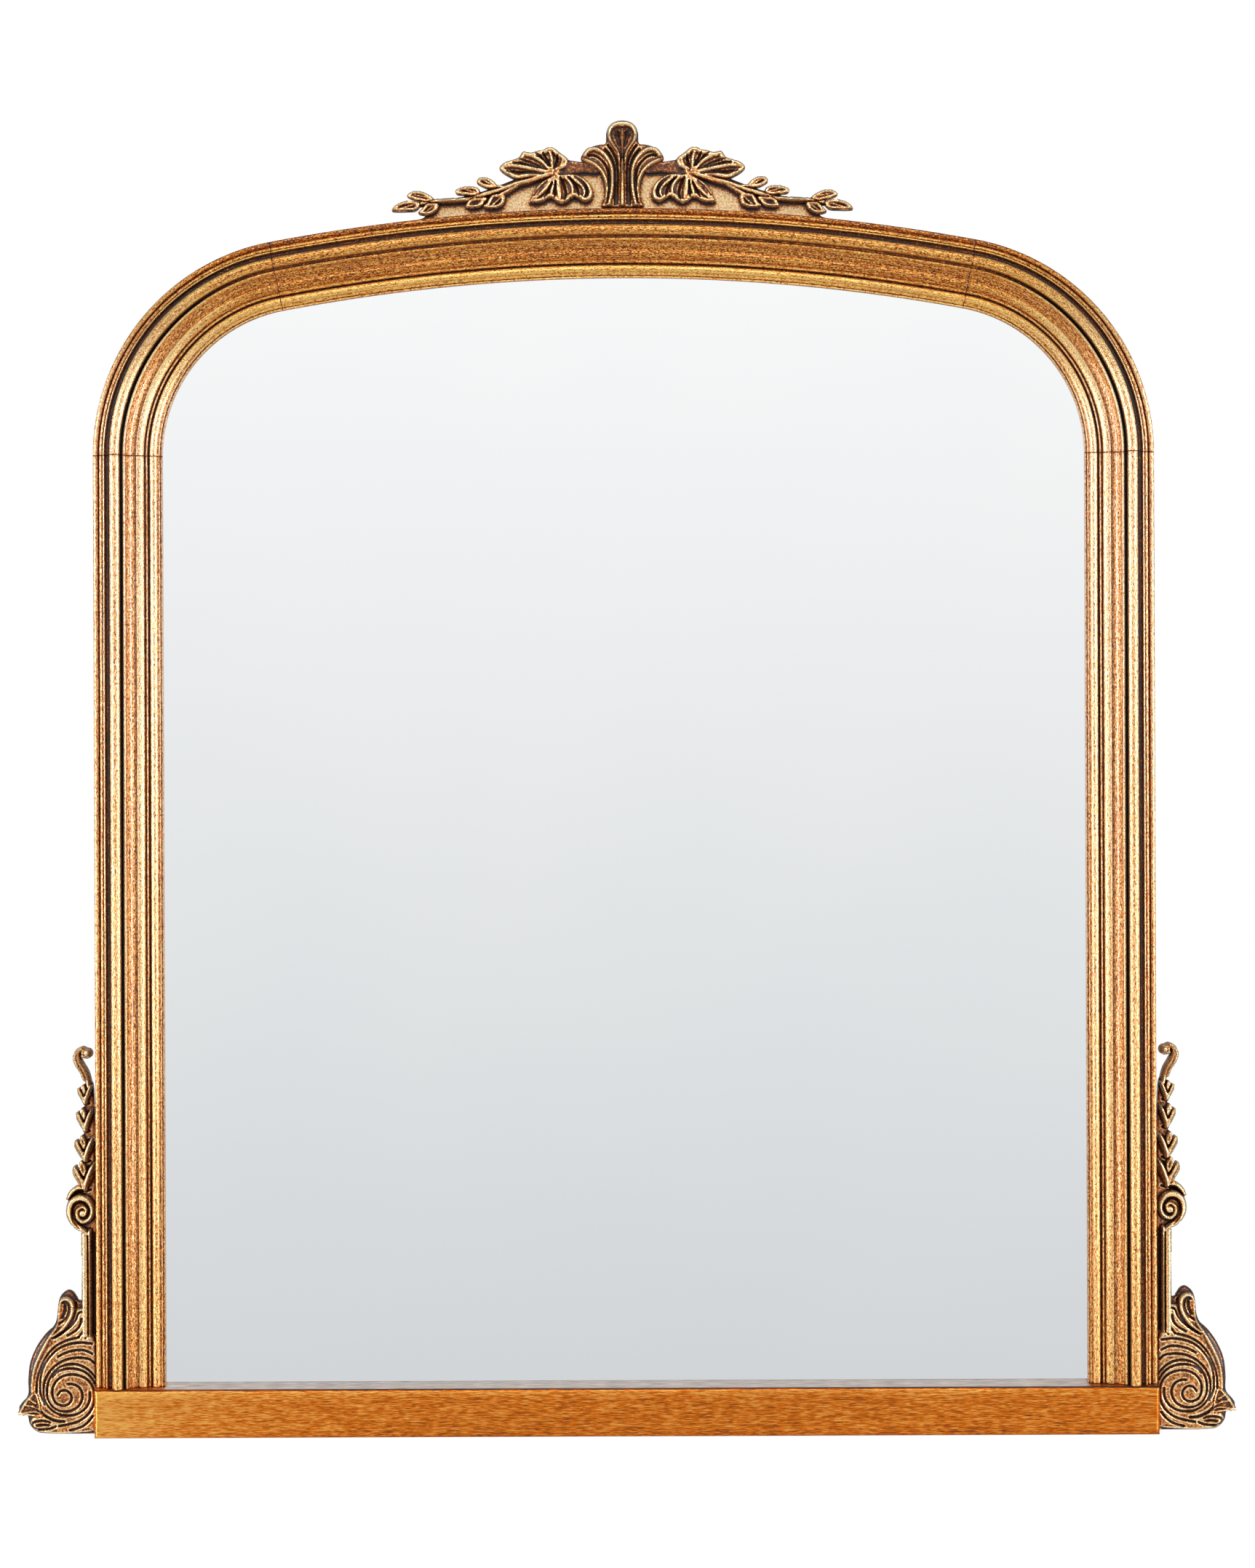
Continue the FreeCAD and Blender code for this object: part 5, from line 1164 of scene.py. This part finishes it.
# Each leaf: its outline, its ribs with their half widths and height, and its veins
SPRAY_LEAVES = (
    ([(44, 25.4), (36, 25.4), (29, 22.9), (24, 18.4), (21.8, 13.4), (22, 9.4), (24, 6), (28, 4.8),
      (31, 6.5), (34, 8.2), (37, 8.2), (40, 5.5), (44, 3.6), (48, 4.7), (51, 7.4), (55, 7.4), (58, 5.5),
      (62, 4.1), (66, 4.2), (69.3, 5.2), (68, 7.5), (65, 13.5), (61, 18.5), (55, 22.5), (50, 25)],
     [([(28.5, 9.5), (28.0, 13), (31, 18), (37, 22.5)], 1.0, 1.5, 15.2),
      ([(37.4, 9), (36.6, 14), (38.4, 19), (42, 23)], 1.4, 1.6, LEAF_TOP),
      ([(46.6, 6.5), (46.5, 12), (47.5, 18), (48.5, 25)], 2.2, 2.6, LEAF_TOP),
      ([(53, 9), (52, 14), (50.5, 19), (50, 24)], 1.3, 1.7, 15.2),
      ([(64.5, 7.4), (60.5, 11), (56, 16), (52, 21)], 1.3, 2.0, LEAF_TOP)],
     [[(25.6, 10), (25.6, 14), (28.6, 19.4), (35, 23.6)], [(32.4, 9.6), (33, 14), (35.6, 19), (40, 23.4)],
      [(42.4, 7), (41.8, 12), (43.4, 18.4), (45.8, 23)], [(50, 8.6), (49.4, 14), (49.2, 20)],
      [(57.2, 8.4), (54.8, 13), (51.8, 19.4)], [(65.4, 9.6), (61.4, 15), (55.4, 20.4)]]),
    ([(40, 36.4), (46, 41.4), (50.5, 44.9), (55, 45.2), (58, 43.7), (63, 42.7), (68, 41.4), (71, 42.2),
      (73.6, 42), (76.4, 38), (81, 36.2), (87, 34.2), (90.6, 30.6), (89, 27.6), (84, 24.2), (78, 21.8),
      (70, 22.6), (61, 24), (53, 26), (46, 28), (41.4, 31)],
     [([(43.6, 36), (45, 32), (48, 28)], 1.5, 1.9, 15.2),
      ([(53.5, 42.5), (52, 37), (52, 32), (52, 27)], 1.5, 1.8, 15.4),
      ([(69, 40), (62, 36.6), (56.5, 32.6), (53, 28.4)], 1.7, 2.2, LEAF_TOP),
      ([(87, 31.2), (80, 31.8), (72, 30.6), (64, 29), (57, 27.4)], 1.6, 2.0, LEAF_TOP)],
     [[(47.8, 39), (48.4, 34), (50, 29.4)], [(58.4, 41.4), (56, 37), (53.2, 31.4)],
      [(63.6, 41), (58.4, 36.6), (54.6, 31.6)], [(75.6, 36.6), (68, 34.4), (60.6, 31)],
      [(80.6, 34), (72, 33.4), (62.4, 30.4)], [(84.6, 27.8), (76, 27.2), (66, 26.4), (58, 25.8)]]),
)
for outline, ribs, veins in SPRAY_LEAVES:
    spray.leaf(outline, LEAF_TOP, LEAF_FLOOR, rim=2.0)
    for line, tip, foot, top in ribs:
        spray.ridge(taper(line, tip, foot), top, LEAF_FLOOR)
    for line in veins:
        spray.groove(line, lip=0.3)
spray.dome(49.5, 27.5, 4.2, LEAF_TOP, LEAF_FLOOR)
spray.sink([(49.5, 27.5, 1.8)], 1.2)
SPRAY_STEM = [(52, 26), (61, 23.6), (69, 20.9), (76, 19.2), (84, 16.4), (91, 13.9), (98, 12), (106, 9.4),
              (111, 7.6), (119, 6.9), (126, 6.4), (133, 6.2), (141, 5.6), (148, 4.4), (153, 2.6)]
spray.ridge(taper(SPRAY_STEM, 2.5, 1.5), 15.4, CREST_FLOOR)
SPRAY_BUDS = (
    [(92, 15.5), (94, 19.5), (98, 22.5), (102, 23.5), (106, 22.8), (107.4, 19.7), (105, 17.5), (99, 15)],
    [(105, 11.5), (106, 15), (111, 16.8), (117, 16.5), (121, 15.3), (123.3, 13.4), (122, 11),
     (117, 10.3), (109, 9.5)],
    [(87, 10.5), (87.5, 4.5), (90, 1.5), (94, 0.2), (99, 0.2), (102, 2), (100, 4.5), (96, 10.5)],
    [(100, 8.5), (102, 4.5), (105, 1.5), (110, 0.5), (114.5, 1), (115.3, 3.5), (111, 8)],
    [(139, 7.4), (144, 11.4), (149, 13.2), (154, 13.4), (158, 11.4), (158.8, 9.4), (155, 7.4),
     (149, 5.9), (144, 4.9)],
    [(149, 4.4), (153, 5.9), (159, 6.2), (164, 4.9), (168, 2.4), (170.2, -1), (166, -1.7),
     (159, -1.6), (153, -1.1), (150, 1.4)],
    [(136, 4.4), (136.5, 0.4), (139, -2.6), (143, -4.4), (148, -4.1), (150.8, -2.6), (148, 0.4),
     (144, 4.4)],
)
for bud in SPRAY_BUDS:
    spray.leaf(bud, 15.2, 12.0, rim=1.5)
    start, end = np.array(bud[0]), np.array(bud[len(bud) // 2])
    ribs = [tuple(start + (end - start) * share) for share in (0.1, 0.45, 0.8)]
    spray.ridge(taper(ribs, 1.1, 0.7), 14.6, 12.0)
spray.ridge([(74, 19.6, 1.0), (84, 13.6, 1.8), (91, 10, 2.0)], 14.8, CREST_FLOOR)
spray.ridge([(86, 16.4, 0.9), (94, 16.6, 1.5), (100, 17.4, 1.4)], 14.8, CREST_FLOOR)
spray.rub(12.6, 15.0, 0.15, 0.06)
for side, word in SIDES:
    carved_piece(word + "_spray_carving", spray, (0.0, APEX_Z), CREST_BOARD,
                 word + "_crest_spray", side)


# %% Crest ground, paler than the leaves, with a painted shadow round them
def covered(relief, x, y):
    """1 where a carving covers a point of another drawing, blurred at its edges."""
    mask = blurred((relief.inside > 0).astype(float), 1.5 / relief.cell)
    i = np.clip(np.rint((x - relief.xs[0]) / relief.cell).astype(int), 0, len(relief.xs) - 1)
    j = np.clip(np.rint((y - relief.ys[0]) / relief.cell).astype(int), 0, len(relief.ys) - 1)
    return mask[i, j]


ground = Relief((-152, -12), (152, 48), cell=0.8)
half_ground = [(148, -14), (146.5, -5), (143, 1.5), (133, 5.2), (119, 6.2), (106, 8.8), (91, 13.4),
               (76, 18.6), (60, 26), (45, 33), (30, 33), (20, 33), (9, 42), (0, 44)]
ground.plate(mirrored(half_ground), CREST_BOARD, drop=1.0, bevel=1.2)
seat = np.hypot(ground.x, ground.y + CROWN_RADIUS) - CROWN_RADIUS - 0.2
ground.limit(seat)
# Painted shadow of the sprays and the palmette on the ground, set a little below them; elsewhere the ground is
# paler.
shadow = np.maximum(covered(spray, np.abs(ground.x), ground.y + 1.4),
                    covered(palmette, ground.x, ground.y + 0.8))
ground.tint = 0.26 - 0.66 * np.clip(shadow * 1.5, 0, 1)
carved_piece("crest_board", ground, (0.0, APEX_Z), 0.0, "crest_ground")

# %% [markdown]
# Glass, back and hardware
#
# These keep their measured solids, because their shapes are plain. A mirror is silvered glass:
# a metal with hardly any roughness. The board behind it is brown hardboard, the hangers and
# plates are zinc-plated, the turn buttons brassy and the screws darker, and the bumpers are felt.

# %% Materials of glass, back and hardware
mirror_silver, tree, shader = new_material("mirror_silver")
haze = noise(tree, object_place(tree), 5, 2)
shade = shaded(tree, haze, 0.3, 0.7, (0.945, 0.955, 0.96, 1), (0.965, 0.97, 0.97, 1))
tree.links.new(shade, shader.inputs["Base Color"])
tree.links.new(ranged(tree, haze, 0.3, 0.7, 0.012, 0.03), shader.inputs["Roughness"])
shader.inputs["Metallic"].default_value = 1.0

hardboard, tree, shader = new_material("brown_hardboard")
where = object_place(tree)
fibres = noise(tree, where, 420, 4, 0.7)
weave = add_node(tree, "ShaderNodeTexVoronoi", {"Vector": where, "Scale": 700.0})
paint(tree, shader, shaded(tree, fibres, 0.35, 0.65, colour(104, 74, 48), colour(146, 108, 72)), 0.85)
bump(tree, shader, weave.outputs["Distance"], 0.4, 0.3)


def plated(name, light, dark, roughness):
    """Plated steel, cloudy and finely scratched."""
    material, tree, shader = new_material(name)
    where = object_place(tree)
    clouds = noise(tree, where, 160, 4)
    cells = add_node(tree, "ShaderNodeTexVoronoi", {"Vector": where, "Scale": 380.0})
    tree.links.new(shaded(tree, clouds, 0.32, 0.68, dark, light), shader.inputs["Base Color"])
    tree.links.new(ranged(tree, cells.outputs["Distance"], 0, 1, roughness, roughness + 0.15),
                   shader.inputs["Roughness"])
    shader.inputs["Metallic"].default_value = 1.0
    bump(tree, shader, clouds, 0.15, 0.2)
    return material


zinc = plated("zinc_plate", colour(196, 198, 202), colour(150, 152, 158), 0.34)
button_brass = plated("turn_button_plate", colour(206, 186, 128), colour(168, 144, 88), 0.34)
screw_steel = plated("screw_plate", colour(176, 170, 158), colour(120, 114, 104), 0.3)

felt, tree, shader = new_material("grey_felt")
wool = noise(tree, object_place(tree), 900, 4)
paint(tree, shader, shaded(tree, wool, 0.35, 0.65, colour(74, 70, 66), colour(122, 116, 108)), 1.0)
shader.inputs["Sheen Weight"].default_value = 0.4
bump(tree, shader, wool, 0.7, 0.5)

dowel_wood, tree, shader = new_material("beech_dowel")
flecks = noise(tree, object_place(tree), 600, 3)
paint(tree, shader, shaded(tree, flecks, 0.35, 0.65, colour(216, 176, 128), colour(188, 146, 98)), 0.7)

# %% Finishes of the solids that stay
FINISHES = (
    ("mirror_glass", mirror_silver), ("backing_board", hardboard), ("dowels", dowel_wood),
    ("turn_button_screws", screw_steel), ("hanger_screws", screw_steel), ("plate_screws", screw_steel),
    ("turn_button", button_brass), ("wall_bumper", felt), ("_plate", zinc), ("hanger_", zinc),
)
for node_name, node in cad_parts.items():
    for word, material in FINISHES:
        if word in node_name:
            for socket in node.material_slots:
                socket.material = material
            if not node.material_slots:
                node.data.materials.append(material)
            break
    else:
        print("replaced by a piece:", node_name)

# %% [markdown]
# Light, floor and camera
#
# Gilding lives on what it reflects. The photograph shows tall white highlights down both stiles
# and none across the crown, so a tall soft light stands at each side and a weaker one above. The
# background is white for the camera. Reflections see white ahead and a cool grey lower down,
# which gives the glass its fade from top to bottom.

# %% Floor
floor_mesh = bpy.data.meshes.new("floor")
FLOOR_Z = FOOT_Z * MM - 0.30
FLOOR_RADIUS = 0.80
FLOOR_SIDES = 96
rim = [(FLOOR_RADIUS * math.cos(a), FLOOR_RADIUS * math.sin(a), FLOOR_Z)
       for a in np.linspace(0, 2 * math.pi, FLOOR_SIDES, endpoint=False)]
floor_mesh.from_pydata(rim, [], [tuple(range(FLOOR_SIDES))])
floor = bpy.data.objects.new("floor", floor_mesh)
bpy.context.scene.collection.objects.link(floor)
floor_paint, tree, shader = new_material("floor_paint")
shader.inputs["Base Color"].default_value = (0.82, 0.82, 0.82, 1)
shader.inputs["Roughness"].default_value = 0.9
floor_mesh.materials.append(floor_paint)
floor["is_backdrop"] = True

# %% World
REFLECTED_LOW = (0.62, 0.645, 0.665, 1)
REFLECTED_HIGH = (1.0, 1.0, 1.0, 1)
REFLECTED_ROUND = (0.34, 0.33, 0.32, 1)     # away from straight ahead
FILL_LIGHT = (0.34, 0.34, 0.34, 1)
BACKGROUND = (1, 1, 1, 1)

world = bpy.data.worlds.new("studio")
bpy.context.scene.world = world
world.use_nodes = True
tree = world.node_tree
tree.nodes.clear()
direction = add_node(tree, "ShaderNodeTexCoord").outputs["Generated"]
split = add_node(tree, "ShaderNodeSeparateXYZ", {0: direction}).outputs
rise = add_node(tree, "ShaderNodeValToRGB", {0: ranged(tree, split["Z"], -0.25, 0.25)})
for stop, position, shade in zip(rise.color_ramp.elements, (0.05, 0.85), (REFLECTED_LOW, REFLECTED_HIGH)):
    stop.position = position
    stop.color = shade
studio = shaded(tree, split["Y"], -0.80, -0.95, REFLECTED_ROUND, rise.outputs[0])
path = add_node(tree, "ShaderNodeLightPath").outputs
seen = mixed(tree, path["Is Glossy Ray"], FILL_LIGHT, studio)
seen = mixed(tree, path["Is Camera Ray"], seen, BACKGROUND)
light = add_node(tree, "ShaderNodeBackground", {"Color": seen, "Strength": 1.0})
add_node(tree, "ShaderNodeOutputWorld", {"Surface": light.outputs[0]})

# %% Lamps
# Name, place, what it faces, width, height and power
LAMPS = (
    ("left_softbox", (-1.7, -0.95, -0.1), (0, 0, -0.15), 0.35, 1.5, 26),
    ("right_softbox", (1.7, -0.95, -0.1), (0, 0, -0.15), 0.35, 1.5, 26),
    ("top_softbox", (0, -1.3, 1.6), (0, 0, -0.1), 1.6, 0.5, 14),
)
for name, place, target, width, height, power in LAMPS:
    lamp = bpy.data.lights.new(name, "AREA")
    lamp.shape = "RECTANGLE"
    lamp.size = width
    lamp.size_y = height
    lamp.energy = power
    item = bpy.data.objects.new(name, lamp)
    item.location = place
    way = Vector(target) - Vector(place)
    item.rotation_euler = way.to_track_quat("-Z", "Y").to_euler()
    bpy.context.scene.collection.objects.link(item)

# %% Camera
# What the photograph shows at the frame's front: its height, and the place of its middle
VIEW_HEIGHT = 1.1504
VIEW_MIDDLE = (0.0021, -0.0345, -0.1608)
HALF_FIELD = math.radians(13.13)
ROLL = math.radians(0.22)
eye_data = bpy.data.cameras.new("eye")
eye_data.lens = eye_data.sensor_width / 2 / math.tan(HALF_FIELD)
eye = bpy.data.objects.new("eye", eye_data)
bpy.context.scene.collection.objects.link(eye)
distance = VIEW_HEIGHT / 2 / math.tan(HALF_FIELD)
eye.location = (VIEW_MIDDLE[0], VIEW_MIDDLE[1] - distance, VIEW_MIDDLE[2])
eye.rotation_mode = "XYZ"
turn = Matrix.Rotation(ROLL, 4, "Y") @ Matrix.Rotation(math.pi / 2, 4, "X")
eye.rotation_euler = turn.to_euler()
bpy.context.scene.camera = eye
bpy.context.scene.view_settings.view_transform = "Standard"

# %% Sizes, and the end
low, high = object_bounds()
size = {"cad_low": list(cad_low), "cad_high": list(cad_high), "visual_low": list(low), "visual_high": list(high)}
print("visual box:", tuple(low), tuple(high))
